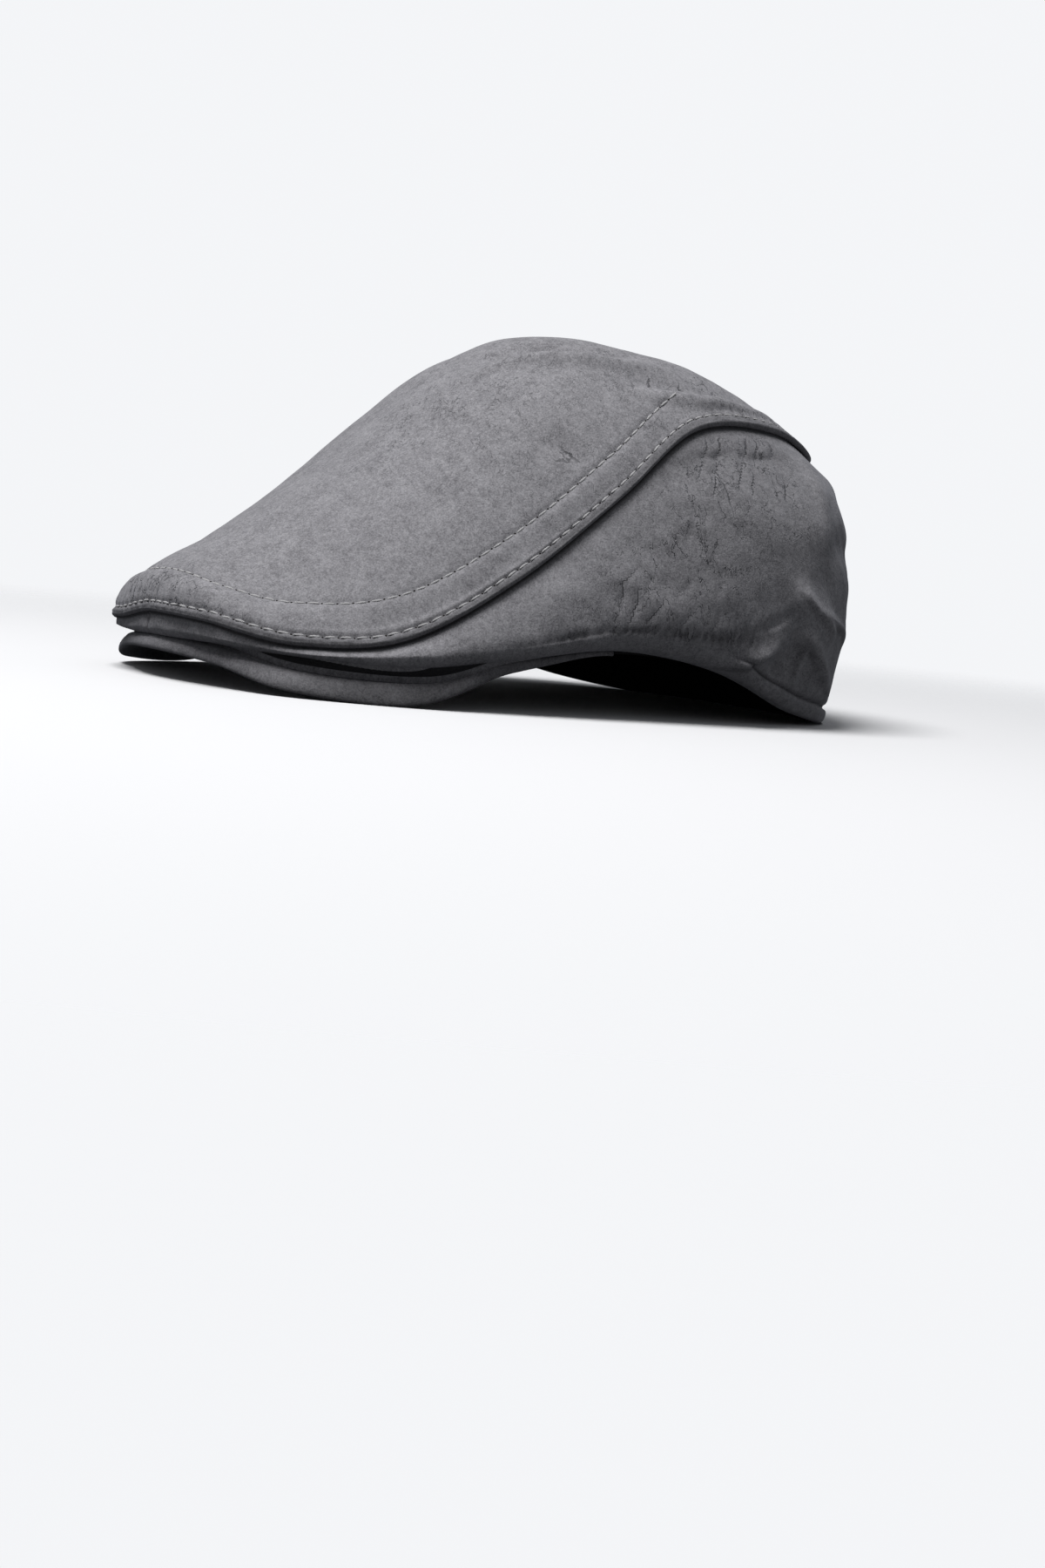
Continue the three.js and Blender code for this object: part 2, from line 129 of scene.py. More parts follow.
RIDGE = table("along up", [
    (-0.999, 0.173),
    (-0.930, 0.287),
    (-0.770, 0.394),
    (-0.550, 0.549),
    (-0.303, 0.774),
    (-0.031, 0.970),
    (0.267, 0.994),
    (0.548, 0.931),
    (0.787, 0.838),
    (0.911, 0.782),
])
SPINE_FRONT, SPINE_BACK = -0.70, 0.66
print("guide lines over", PLACES, "steps; cap", CAP_LENGTH, "by", CAP_WIDTH, "by", CAP_HEIGHT, "mm")

# %% [markdown]
# ## Curves through the tables
# A turn of 0 is the centre front and 1 the centre back. Every function here takes arrays, so
# that a whole grid of cloth is worked out in one call. A Catmull-Rom curve is chosen because it
# passes through every value of its table.


# %% Curve helpers
def mix(a, b, share):
    return a + (b - a) * share


def ease(value, start, end):
    share = np.clip((value - start) / (end - start), 0, 1)
    return share * share * (3 - 2 * share)


def bank(value, width):
    """1 where a value is nothing, falling off softly over a width on both sides."""
    return np.exp(-((value / width) ** 2))


def column(values, index, odd):
    """Values at whole steps, mirrored past both ends of a full table."""
    last = len(values) - 1
    full = last == PLACES
    flipped = (index < 0) | ((index > last) & full)
    place = np.where(index < 0, -index, np.where((index > last) & full, 2 * PLACES - index, index))
    return np.where(flipped & odd, -1.0, 1.0) * values[np.minimum(place, last)]


def smooth(values, turn, odd=False):
    turn = np.asarray(turn, float)
    index = np.minimum(np.floor(turn * PLACES).astype(int), PLACES - 1)
    share = turn * PLACES - index
    a, b, c, d = (column(values, index + step, odd) for step in (-1, 0, 1, 2))
    return 0.5 * (2 * b + (c - a) * share + (2 * a - 5 * b + 4 * c - d) * share**2
                  + (3 * b - a - 3 * c + d) * share**3)


# %% Lines of the cap
def guide(line, turn):
    return np.stack([
        smooth(line["across"], turn, odd=True) * CAP_WIDTH / 2,
        smooth(line["along"], turn) * CAP_LENGTH / 2,
        smooth(line["up"], turn) * CAP_HEIGHT,
    ], -1)


def seam_line(turn):
    return guide(SEAM, turn)


def belly_line(turn):
    return guide(BELLY, turn)


def rim_line(turn):
    point = guide(RIM, turn)
    point[..., 2] = np.maximum(point[..., 2], 0)
    return point


# %% Directions and heights
def unit(vector):
    return vector / np.maximum(np.linalg.norm(vector, axis=-1, keepdims=True), 1e-12)


def outward(line, turn):
    """Level direction that points out from a line."""
    step = 0.01
    turn = np.asarray(turn, float)
    place = np.clip(turn, step, 1 - step)
    run = line(place + step) - line(place - step)
    level = unit(np.stack([run[..., 1], -run[..., 0], np.zeros_like(turn)], -1))
    level = np.where((turn < step)[..., None], np.array([0.0, -1.0, 0.0]), level)
    return np.where((turn > 1 - step)[..., None], np.array([0.0, 1.0, 0.0]), level)


def with_height(point, height):
    return np.concatenate([point[..., :2], np.broadcast_to(height, point.shape[:-1])[..., None]], -1)


def raised(point, height):
    return with_height(point, point[..., 2] + height)


UP = np.array([0.0, 0.0, 1.0])
print("seam at the nose, in mm:", seam_line(0.0).round(1).tolist())

# %% [markdown]
# ## Folds
# Cloth folds are banks and hollows along short lines. They could be sculpted by hand, which a
# script can't repeat, or left to a cloth simulation, which puts them where it likes. Each fold
# here is a row of a table: the points of its line, a soft width on one side, a sharper width on
# the other and how far it stands out. The sharp side makes it read as a fold and not as a wave.


# %% Fold helper
def along_line(points, line, facing):
    """Distance to a line of points, which side of it a point lies on, seen against the facing
    direction, and the share of the way along it."""
    best = np.full(points.shape[:-1], 1e9)
    side = np.zeros_like(best)
    share = np.zeros_like(best)
    steps = len(line) - 1
    for k in range(steps):
        start, run = line[k], line[k + 1] - line[k]
        t = np.clip(((points - start) @ run) / (run @ run), 0, 1)
        off = points - (start + t[..., None] * run)
        distance = np.linalg.norm(off, axis=-1)
        nearer = distance < best
        best = np.where(nearer, distance, best)
        side = np.where(nearer, np.sign(off @ np.cross(facing, run)), side)
        share = np.where(nearer, (k + t) / steps, share)
    return best, side, share


TAPER_POWER, TAPER_REST = 0.6, 0.02


def thin_ends(share, power=TAPER_POWER, rest=0.0):
    """1 in the middle of a line, falling off towards both of its ends."""
    return np.sin(np.pi * np.clip(share, rest, 1 - rest)) ** power


def fold_height(folds, points):
    """How far the surface stands out at some points, in millimetres."""
    height = np.zeros(points.shape[:-1])
    for fold in folds:
        distance, side, share = along_line(points, fold["line"], fold["facing"])
        width = np.where(side > 0, fold["soft"], fold["sharp"])
        taper = thin_ends(share, rest=TAPER_REST) if fold["tapered"] else 1.0
        height = height + fold["rise"] * taper * bank(distance, width)
    return height


# %% [markdown]
# ## Thin creases
# A hairline crease is thinner than a face of the mesh, so it can't be a row of points. Each
# point stores its distance to the nearest crease instead, with a sign for the side that it is
# on. That distance stays true between the points, and the cloth's shader draws the line where
# it is nothing. Creases that lie close together go to two layers, because one point can only
# hold the distance to one of them.


# %% Thin crease helper
CREASE_REACH, CREASE_DENT_WIDTH, NO_CREASE = 2.4, 1.1, 9.0


def thin_crease(line, facing, strength=1.0):
    return {"line": line, "facing": facing, "strength": strength}


def thin_layers(creases, points):
    """The values of both layers, by the names that the shader reads."""
    layers = {}
    for label, group in (("a", creases[0::2]), ("b", creases[1::2])):
        across = np.full(points.shape[:-1], NO_CREASE)
        strength = np.zeros(points.shape[:-1])
        for crease in group:
            distance, side, share = along_line(points, crease["line"], crease["facing"])
            nearer = distance < np.abs(across)
            here = crease["strength"] * thin_ends(share) * ease(distance, CREASE_REACH, CREASE_REACH / 2)
            across = np.where(nearer, side * distance, across)
            strength = np.where(nearer, here, strength)
        layers["across_" + label] = across
        layers["strength_" + label] = strength
    return layers


def thin_dents(layers):
    """The soft dent that goes with each thin crease."""
    return sum(layers["strength_" + label] * bank(layers["across_" + label], CREASE_DENT_WIDTH)
               for label in "ab")


# %% [markdown]
# ## The crown
# The top panel hangs from a spine along the middle of the cap. Its height follows the crown's
# side view, and it falls to the edge by a power curve, flat on top and steep at the sides. A
# patch of splines would do as well, but a formula gives every layer of the cloth its own copy.

# %% Crown height
def ridge_height(y):
    knots = RIDGE["along"] * CAP_LENGTH / 2
    heights = RIDGE["up"] * CAP_HEIGHT
    last = len(knots) - 1
    order = np.arange(last + 1)
    before, after = np.maximum(order - 1, 0), np.minimum(order + 1, last)
    slopes = (heights[after] - heights[before]) / (knots[after] - knots[before])
    place = np.clip(y, knots[0], knots[-1])
    i = np.clip(np.searchsorted(knots, place, side="right") - 1, 0, last - 1)
    span = knots[i + 1] - knots[i]
    share = (place - knots[i]) / span
    return ((1 + 2 * share) * (1 - share) ** 2 * heights[i] + share * (1 - share) ** 2 * span * slopes[i]
            + share**2 * (3 - 2 * share) * heights[i + 1] + share**2 * (share - 1) * span * slopes[i + 1])


# %% Broad folds of the crown
def plan_fold(across, along, to_across, to_along, width, rise):
    """A broad fold that is straight in plan, in shares of half the width, half the length and
    the height."""
    ends = np.array([(across, along), (to_across, to_along)]) * [CAP_WIDTH / 2, CAP_LENGTH / 2]
    return {
        "line": np.column_stack([ends, [0, 0]]),
        "facing": UP,
        "soft": width * CAP_HEIGHT,
        "sharp": width * CAP_HEIGHT,
        "rise": rise * CAP_HEIGHT,
        "tapered": False,
    }


TOP_FOLDS = [
    plan_fold(0.20, -0.08, 0.40, 0.18, 0.06, -0.010),
    plan_fold(0.57, 0.04, 0.45, 0.62, 0.05, -0.014),
    plan_fold(0.16, -0.42, 0.60, -0.36, 0.14, -0.016),
    plan_fold(0.62, -0.24, 0.64, 0.02, 0.12, 0.012),
]


# %% Crown surface
def crown(turn, out):
    """A point of the crown, out running from the spine to the panel's edge."""
    turn, out = np.broadcast_arrays(np.asarray(turn, float), np.asarray(out, float))
    edge = seam_line(turn)
    front, back = (SEAM["along"][i] * CAP_LENGTH / 2 for i in (0, -1))
    spine = mix(SPINE_FRONT, SPINE_BACK, (edge[..., 1] - front) / (back - front)) * CAP_LENGTH / 2
    plan = np.stack([edge[..., 0] * out, mix(spine, edge[..., 1], out), np.zeros_like(out)], -1)
    drop = ridge_height(edge[..., 1]) - edge[..., 2]
    fold = fold_height(TOP_FOLDS, plan) * (1 - out**4)
    height = ridge_height(plan[..., 1]) - drop * out ** smooth(SEAM["curl"], turn) + fold
    return with_height(plan, height)


def crown_normal(turn, out):
    step = 0.004
    turn, out = np.broadcast_arrays(np.asarray(turn, float), np.asarray(out, float))
    place = np.clip(turn, step, 1 - step)
    share = np.maximum(out, 0.1)
    across = crown(place + step, share) - crown(place - step, share)
    down = crown(place, share) - crown(place, share - step)
    normal = np.cross(down, across)
    middle = (turn < step) | (turn > 1 - step) | (out < step)
    normal[..., 0] = np.where(middle, 0, normal[..., 0])
    return unit(normal)


def inset_share(turn, distance):
    """The share of the way in from the edge that a distance over the crown makes."""
    sample = 0.1
    return distance * sample / np.linalg.norm(crown(turn, 1.0) - crown(turn, 1 - sample), axis=-1)


def crown_layer(turn, out, depth):
    return crown(turn, out) - crown_normal(turn, out) * np.asarray(depth, float)[..., None]


# %% [markdown]
# ## The peak and the head opening
# The brow line is the inner edge of the peak. Behind it the opening follows the lower edge of
# the side panels, so one line serves the peak, the band and the turned in cloth. Three separate
# lines would be simpler to draw, but the pieces might then not meet.

# %% Opening lines
BROW_ENDS, RIM_STARTS, TIP_FROM = 3 / PLACES, 6.5 / PLACES, 0.4


def rim_share(turn):
    return ease(turn, BROW_ENDS, RIM_STARTS)


def head_line(turn):
    inner = rim_line(turn) - outward(rim_line, turn) * (HEM_CLOTH + SEAM_GAP)
    line = mix(guide(BROW, turn), inner, rim_share(turn)[..., None])
    return with_height(line, 0.0)


def piece_line(turn):
    return head_line(turn) + outward(head_line, turn) * SEAM_GAP


# %% Peak surface
def tip_share(turn):
    return ease(turn, TIP_FROM, PEAK_TIP)


def peak_thickness(turn):
    return mix(PEAK_BOARD, PEAK_TIP_BOARD, tip_share(turn))


def peak_top(turn, inner):
    turn, inner = np.broadcast_arrays(np.asarray(turn, float), np.asarray(inner, float))
    rim, edge, brow, tip = rim_line(turn), guide(PEAK, turn), guide(BROW, turn), tip_share(turn)
    outer = mix(edge, rim, tip[..., None])
    rise = 1 - (1 - inner) ** smooth(BROW["arch"], turn)
    height = mix(edge[..., 2], brow[..., 2], rise) + peak_thickness(turn)
    plan = mix(outer, piece_line(turn), inner[..., None])
    return with_height(plan, mix(height, rim[..., 2] - SEAM_GAP, tip))


def hem_share(turn):
    return 1 - np.maximum(np.clip(smooth(RIM["roll"], turn), 0, 1), 1 - tip_share(turn))


# %% [markdown]
# ## The side panels
# Each side panel tucks under the top panel's edge, swells to its widest line and then either
# rolls in over the peak or runs straight down to a padded hem at the back. The upper and the
# lower half are two formulas that meet at the widest line, because only the lower one rolls.

# %% Side panel surface
def side_upper(turn, down, depth):
    turn, down = np.broadcast_arrays(np.asarray(turn, float), np.asarray(down, float))
    start = crown_layer(turn, np.ones_like(turn), np.zeros_like(turn) + CLOTH + SEAM_GAP + depth)
    belly = belly_line(turn) - outward(belly_line, turn) * np.asarray(depth, float)[..., None]
    out = 1 - (1 - down) ** smooth(BELLY["full"], turn)
    return with_height(mix(start, belly, out[..., None]), mix(start[..., 2], belly[..., 2], down))


def side_lower(turn, down, depth):
    turn, down = np.broadcast_arrays(np.asarray(turn, float), np.asarray(down, float))
    depth = np.zeros_like(turn) + depth
    roll = np.clip(smooth(RIM["roll"], turn), 0, 1)
    corner = np.maximum(roll, 1 - roll)
    belly = belly_line(turn) - outward(belly_line, turn) * depth[..., None]
    rim = rim_line(turn) - outward(rim_line, turn) * (depth * (1 - roll) / corner)[..., None]
    rim = raised(rim, depth * np.maximum(roll / corner, hem_share(turn)))
    angle = down * np.pi / 2
    inward = mix(down**2, 1 - np.cos(angle), roll)
    fall = mix(down, np.sin(angle), roll)
    return with_height(mix(belly, rim, inward[..., None]), mix(belly[..., 2], rim[..., 2], fall))


# %% Folds of the side panel
BELLY_PLACE = 0.6


def panel_point(turn, down):
    """A point of the smooth side panel, down running from the seam to the rim."""
    turn, down = np.asarray(turn, float), np.asarray(down, float)
    upper = side_upper(turn, np.clip(down / BELLY_PLACE, 0, 1), 0.0)
    lower = side_lower(turn, np.clip((down - BELLY_PLACE) / (1 - BELLY_PLACE), 0, 1), 0.0)
    return np.where((down < BELLY_PLACE)[..., None], upper, lower)


def side_fold(points, soft, sharp, rise, tapered=True):
    turns, downs = (np.array(values) for values in zip(*points))
    facing = outward(belly_line, turns.mean())
    return {"line": panel_point(turns, downs), "facing": facing, "soft": soft, "sharp": sharp,
            "rise": rise, "tapered": tapered}


def broad(turn, down, to_turn, to_down, width, rise):
    size = width * CAP_HEIGHT
    return side_fold([(turn, down), (to_turn, to_down)], size, size, rise * CAP_HEIGHT, tapered=False)


BROAD_FOLDS = [
    broad(0.62, 0.07, 0.75, 0.10, 0.060, -0.018),
    broad(0.81, 0.07, 0.78, 0.34, 0.070, 0.018),
    broad(0.60, 0.40, 0.71, 0.58, 0.170, -0.020),
    broad(0.75, 0.60, 0.80, 0.72, 0.050, 0.020),
    broad(0.80, 0.67, 0.855, 0.75, 0.055, 0.008),
    broad(0.765, 0.73, 0.83, 0.91, 0.045, 0.022),
    broad(0.68, 0.87, 0.72, 0.76, 0.045, 0.014),
    broad(0.728, 0.86, 0.752, 0.79, 0.065, -0.030),
]
FINE_FOLDS = [
    side_fold([(0.741, 0.57), (0.765, 0.64), (0.783, 0.67), (0.798, 0.71), (0.801, 0.74)], 2.8, 1.1, 1.5),
    side_fold([(0.780, 0.65), (0.815, 0.69), (0.843, 0.72), (0.858, 0.76)], 2.4, 1.0, 1.3),
    side_fold([(0.758, 0.72), (0.773, 0.76), (0.793, 0.82), (0.810, 0.86), (0.84, 0.93)], 3.0, 1.0, 2.4),
    side_fold([(0.758, 0.73), (0.765, 0.77), (0.765, 0.82), (0.764, 0.90)], 2.4, 1.0, 1.8),
    side_fold([(0.650, 0.96), (0.674, 0.90), (0.688, 0.87), (0.703, 0.81), (0.728, 0.76)], 3.4, 1.0, 3.0),
    side_fold([(0.695, 0.70), (0.720, 0.67), (0.740, 0.64)], 2.4, 1.1, -1.2),
    side_fold([(0.72, 0.80), (0.74, 0.85), (0.752, 0.89)], 3.0, 2.0, -1.8),
    side_fold([(0.81, 0.05), (0.79, 0.20), (0.78, 0.36)], 7.0, 2.6, 1.3),
    side_fold([(0.700, 0.09), (0.720, 0.12), (0.750, 0.105), (0.780, 0.07)], 3.4, 1.6, -2.8),
    side_fold([(0.625, 0.04), (0.655, 0.075), (0.678, 0.10), (0.700, 0.085)], 3.4, 1.6, -2.8),
    side_fold([(0.60, 0.12), (0.62, 0.26), (0.61, 0.40)], 4.0, 1.5, -0.4),
]
# Folds and dents that get painted shade on their insides
DARK_FOLDS, DARK_DENTS = FINE_FOLDS[:5], FINE_FOLDS[8:10]
print("side folds:", len(BROAD_FOLDS), "broad and", len(FINE_FOLDS), "fine")

# %% [markdown]
# ## Worn shape
# The cap is worn, and the edge of its nose has sunk a little on the wearer's right. Editing the
# guide lines would sink both sides, because one half mirrors the other. One function moves every
# piece there instead, most at the height of the top panel's edge and next to nothing at the
# peak or on the crown, so that the pieces keep apart.


# %% The sunken side of the nose
NOSE_SINK = 3.6


def worn(points):
    """The points after wear, in millimetres."""
    x, y, z = (points[..., k] for k in range(3))
    rightwards, forwards = ease(-x, -6, 26), ease(-y, 92, 122)
    above_peak, below_crown = ease(z, 11, 22), ease(z, 36, 25)
    return raised(points, -NOSE_SINK * rightwards * forwards * above_peak * below_crown)


# %% [markdown]
# ## From grids to closed cloth
# Every piece is a grid of points: places round the cap, and for each place a profile that goes
# over the outside of the cloth, round its edge and back on the inside. A Solidify modifier could
# thicken a single sheet, but the cloth is thicker at the hem and rounded at its edges, and
# joining neighbours of such a grid gives a wall with just that thickness.


# %% Faces of a grid
def signed_volume(points, quads):
    a, b, c, d = (points[quads[:, k]] for k in range(4))
    first = np.einsum("ij,ij->i", a, np.cross(b, c))
    second = np.einsum("ij,ij->i", a, np.cross(c, d))
    return (first + second).sum() / 6


def grid_quads(places, rows, ring=False, loop=False):
    """Corner numbers of every quad of a grid, with a column saying its row."""
    i = np.arange(places if ring else places - 1)
    j = np.arange(rows if loop else rows - 1)
    i, j = (grid.ravel() for grid in np.meshgrid(i, j, indexing="ij"))
    k, m = (i + 1) % places, (j + 1) % rows
    quads = np.column_stack([i * rows + j, i * rows + m, k * rows + m, k * rows + j])
    return quads, j


def cap_quads(place, rows):
    """Closes the open end of a looped profile, whose second half lies inside its first."""
    j = np.arange(rows // 2 - 1)
    back = rows - 1 - j
    base = place * rows
    return np.column_stack([base + j, base + j + 1, base + back - 1, base + back]), j * 0


# %% Cloth helper
WELD_DISTANCE, THINNEST_EDGE = 1e-6, 1e-7


def cloth_object(name, grid, linings, materials, ring=False, loop=False, marks=None):
    """A closed mesh from a grid in millimetres. linings says which rows show the cloth's back,
    and marks holds the values that the materials read, by name."""
    places, rows = grid.shape[:2]
    points = worn(grid.reshape(-1, 3))
    quads, row = grid_quads(places, rows, ring, loop)
    if loop and not ring:
        for place in (0, places - 1):
            end, zero = cap_quads(place, rows)
            quads = np.vstack([quads, end if place else end[:, ::-1]])
            row = np.concatenate([row, zero])
    if signed_volume(points, quads) < 0:
        quads = quads[:, ::-1]
    mesh = bpy.data.meshes.new(name)
    mesh.from_pydata((points * MM).tolist(), [], quads.tolist())
    for material in materials:
        mesh.materials.append(material)
    mesh.polygons.foreach_set("material_index", np.isin(row, linings).astype(np.int32))
    for label, values in (marks or {}).items():
        layer = mesh.attributes.new(label, "FLOAT", "POINT")
        layer.data.foreach_set("value", values.reshape(-1).astype(np.float32))
    piece = bpy.data.objects.new(name, mesh)
    bpy.context.scene.collection.objects.link(piece)
    weld(piece)
    mesh.shade_smooth()
    print(name, "faces:", len(mesh.polygons))
    return piece


def weld(piece):
    """Joins points that lie on each other, where the two halves of a piece meet."""
    work = bmesh.new()
    work.from_mesh(piece.data)
    bmesh.ops.remove_doubles(work, verts=work.verts, dist=WELD_DISTANCE)
    bmesh.ops.dissolve_degenerate(work, edges=work.edges, dist=THINNEST_EDGE)
    work.to_mesh(piece.data)
    work.free()


# %% Whole rings
MIRROR = np.array([-1.0, 1.0, 1.0])


def full_ring(near, far=None):
    """A whole ring of places from the two halves, or from the wearer's left half alone."""
    far = near * MIRROR if far is None else far
    return np.concatenate([near, far[1:-1][::-1]])


# %% [markdown]
# ## Small unevenness
# Real cloth is never as even as its pattern. A noise texture could push the mesh about, but it
# would need a modifier on every piece. A sum of a few sine waves with fixed seeds gives slow
# swells that are the same on every run.


# %% Slow swells
SWELL_WAVES, SWELL_SPREAD, SWELL_CALM = 9, (0.7, 1.6), 1.4


def swell(points, scale, seed):
    """A smooth uneven value from about -1 to 1, with features of the given size."""
    random = np.random.default_rng(seed)
    total = np.zeros(points.shape[:-1])
    for _ in range(SWELL_WAVES):
        direction = unit(random.normal(size=3))
        phase = random.uniform(0, 2 * np.pi)
        length = scale * random.uniform(*SWELL_SPREAD)
        total += np.sin(points @ direction * 2 * np.pi / length + phase)
    return total / SWELL_WAVES**0.5 / SWELL_CALM


# %% [markdown]
# ## Suede cloth
# The cloth is a faux suede: a matte nap with a faint soft sheen at grazing angles, small
# mottles where the nap lies in different ways, and hairline creases where the cloth has been
# bent. A photographed cloth would bring its own light with it, so a Principled shader with
# noise in its colour and bump is used. The noise reads Object coordinates and keeps its size on
# every piece. The placed creases and a painted shade, colour darkened where shade falls under
# seams, in folds and grooves and on rolled edges, are read from attributes that each piece
# stores on its points.

# %% Material helpers
def new_material(name):
    material = bpy.data.materials.new(name)
    material.use_nodes = True
    nodes = material.node_tree.nodes
    nodes.clear()
    output = nodes.new("ShaderNodeOutputMaterial")
    shader = nodes.new("ShaderNodeBsdfPrincipled")
    material.node_tree.links.new(shader.outputs["BSDF"], output.inputs["Surface"])
    return material, nodes, material.node_tree.links, shader


def noise(nodes, links, vector, scale, detail, roughness=0.5):
    node = nodes.new("ShaderNodeTexNoise")
    links.new(vector, node.inputs["Vector"])
    node.inputs["Scale"].default_value = scale
    node.inputs["Detail"].default_value = detail
    node.inputs["Roughness"].default_value = roughness
    return node.outputs["Fac"]


def math_node(nodes, links, operation, first, second):
    node = nodes.new("ShaderNodeMath")
    node.operation = operation
    for socket, value in zip(node.inputs, (first, second)):
        if isinstance(value, (int, float)):
            socket.default_value = value
        else:
            links.new(value, socket)
    return node.outputs[0]


def between(nodes, links, value, low, high, to_low=0.0, to_high=1.0):
    """A smooth step from one value to another."""
    node = nodes.new("ShaderNodeMapRange")
    node.interpolation_type = "SMOOTHSTEP"
    links.new(value, node.inputs["Value"])
    for name, number in (("From Min", low), ("From Max", high), ("To Min", to_low), ("To Max", to_high)):
        node.inputs[name].default_value = number
    return node.outputs["Result"]


# %% Colour and bump helpers
def two_greys(nodes, links, share, dark, light):
    node = nodes.new("ShaderNodeMix")
    node.data_type = "RGBA"
    links.new(share, node.inputs["Factor"])
    node.inputs["A"].default_value = (*dark, 1)
    node.inputs["B"].default_value = (*light, 1)
    return node.outputs["Result"]


def bump(nodes, links, height, distance, strength, before=None):
    node = nodes.new("ShaderNodeBump")
    node.inputs["Distance"].default_value = distance
    node.inputs["Strength"].default_value = strength
    links.new(height, node.inputs["Height"])
    if before is not None:
        links.new(before, node.inputs["Normal"])
    return node.outputs["Normal"]


# %% Suede values
SUEDE_DARK, SUEDE_LIGHT = (0.128, 0.125, 0.134), (0.336, 0.329, 0.347)
# The near black that all painted shade is mixed towards
SHADE_GREY = (0.012, 0.012, 0.013)
NAP_LAYERS = {"grain": (1700, 2, 0.65), "mottle": (520, 3, 0.6), "patches": (110, 4, 0.6)}
NAP_WEIGHTS = (1.7, 1.1, 0.8)
LINE_CORE, LINE_EDGE, LINE_WOBBLE = 0.12, 0.65, 0.7
CRACKLE_SQUASH, CRACKLE_WIDTH, CRACKLE_KEPT, CRACKLE_DARK = 0.34, 0.022, (0.44, 0.60), 0.85
# How much a crease darkens the nap, partly the suede's own crease mark and partly painted shade, and how
# much painted shade it adds
CREASE_DARKER, CREASE_SHADE = 0.8, 0.75
print("layers of the nap:", list(NAP_LAYERS))


# %% Thin creases in the shader
def attribute(nodes, name):
    node = nodes.new("ShaderNodeAttribute")
    node.attribute_name = name
    return node.outputs["Fac"]


def product(nodes, links, first, second):
    return math_node(nodes, links, "MULTIPLY", first, second)


def larger(nodes, links, first, second):
    return math_node(nodes, links, "MAXIMUM", first, second)


def line_at_nothing(nodes, links, value, core, edge):
    """1 where a value is nothing, fading to 0 on both sides of it."""
    return between(nodes, links, math_node(nodes, links, "ABSOLUTE", value, 0.0), core, edge, 1.0, 0.0)


def crackle(nodes, links, vector):
    """Fine upright lines, where a stretched noise crosses its middle, broken up by another."""
    pressed = nodes.new("ShaderNodeMapping")
    pressed.inputs["Scale"].default_value = (1.0, 1.0, CRACKLE_SQUASH)
    links.new(vector, pressed.inputs["Vector"])
    wander = noise(nodes, links, pressed.outputs["Vector"], 300, 3, 0.55)
    from_middle = math_node(nodes, links, "SUBTRACT", wander, 0.5)
    line = line_at_nothing(nodes, links, from_middle, 0.0, CRACKLE_WIDTH)
    kept = between(nodes, links, noise(nodes, links, vector, 140, 2), *CRACKLE_KEPT)
    return product(nodes, links, product(nodes, links, line, kept), attribute(nodes, "creased"))


def crease_line(nodes, links, label, wobble):
    """One layer of thin creases: a line where the stored distance is nothing."""
    distance = math_node(nodes, links, "ADD", attribute(nodes, "across_" + label), wobble)
    line = line_at_nothing(nodes, links, distance, LINE_CORE, LINE_EDGE)
    return product(nodes, links, line, attribute(nodes, "strength_" + label))


def crease_lines(nodes, links, vector):
    wander = noise(nodes, links, vector, 420, 3, 0.6)
    wobble = between(nodes, links, wander, 0.2, 0.8, -LINE_WOBBLE, LINE_WOBBLE)
    first, second = (crease_line(nodes, links, label, wobble) for label in "ab")
    fine = product(nodes, links, crackle(nodes, links, vector), CRACKLE_DARK)
    return larger(nodes, links, larger(nodes, links, first, second), fine)


# %% Suede
def suede_colour(nodes, links, nap, creases, dark, light):
    """The greys of the nap, darker in each crease, with painted shade laid over them: the stored shade of
    seams, folds and edges, and the creases.
    """
    shade = 0.5 - 0.5 * sum(NAP_WEIGHTS)
    for layer, weight in zip(nap, NAP_WEIGHTS):
        shade = math_node(nodes, links, "ADD", shade, product(nodes, links, layer, weight))
    # Each crease darkens the nap: partly the suede's own crease mark, partly painted shade.
    shade = math_node(nodes, links, "SUBTRACT", shade, product(nodes, links, creases, CREASE_DARKER))
    colour = two_greys(nodes, links, shade, dark, light)
    # Painted shade: the larger of the stored shade and the creases' share, mixed towards a near black.
    inside = larger(nodes, links, attribute(nodes, "shaded"), product(nodes, links, creases, CREASE_SHADE))
    shadow = two_greys(nodes, links, inside, dark, SHADE_GREY)
    links.new(colour, shadow.node.inputs["A"])
    return shadow


def suede(name, dark, light):
    material, nodes, links, shader = new_material(name)
    place = nodes.new("ShaderNodeTexCoord").outputs["Object"]
    nap = [noise(nodes, links, place, *values) for values in NAP_LAYERS.values()]
    grain, mottle, _ = nap
    creases = crease_lines(nodes, links, place)
    links.new(suede_colour(nodes, links, nap, creases, dark, light), shader.inputs["Base Color"])
    rough = between(nodes, links, mottle, 0.3, 0.7, 0.86, 0.98)
    links.new(rough, shader.inputs["Roughness"])
    raised_nap = bump(nodes, links, grain, 0.00025, 0.5)
    soft = bump(nodes, links, mottle, 0.0006, 0.35, raised_nap)
    crease_depth = math_node(nodes, links, "SUBTRACT", 1.0, creases)
    links.new(bump(nodes, links, crease_depth, 0.0006, 0.8, soft), shader.inputs["Normal"])
    shader.inputs["Specular IOR Level"].default_value = 0.2
    shader.inputs["Sheen Weight"].default_value = 0.12
    shader.inputs["Sheen Roughness"].default_value = 0.5
    shader.inputs["Sheen Tint"].default_value = (0.85, 0.88, 1.0, 1)
    return material


# %% Plain cloths and thread
def plain_cloth(name, dark, light, weave=1400):
    material, nodes, links, shader = new_material(name)
    place = nodes.new("ShaderNodeTexCoord").outputs["Object"]
    shade = noise(nodes, links, place, weave, 3, 0.7)
    links.new(two_greys(nodes, links, shade, dark, light), shader.inputs["Base Color"])
    links.new(bump(nodes, links, shade, 0.0003, 0.6), shader.inputs["Normal"])
    shader.inputs["Roughness"].default_value = 0.9
    shader.inputs["Specular IOR Level"].default_value = 0.2
    return material


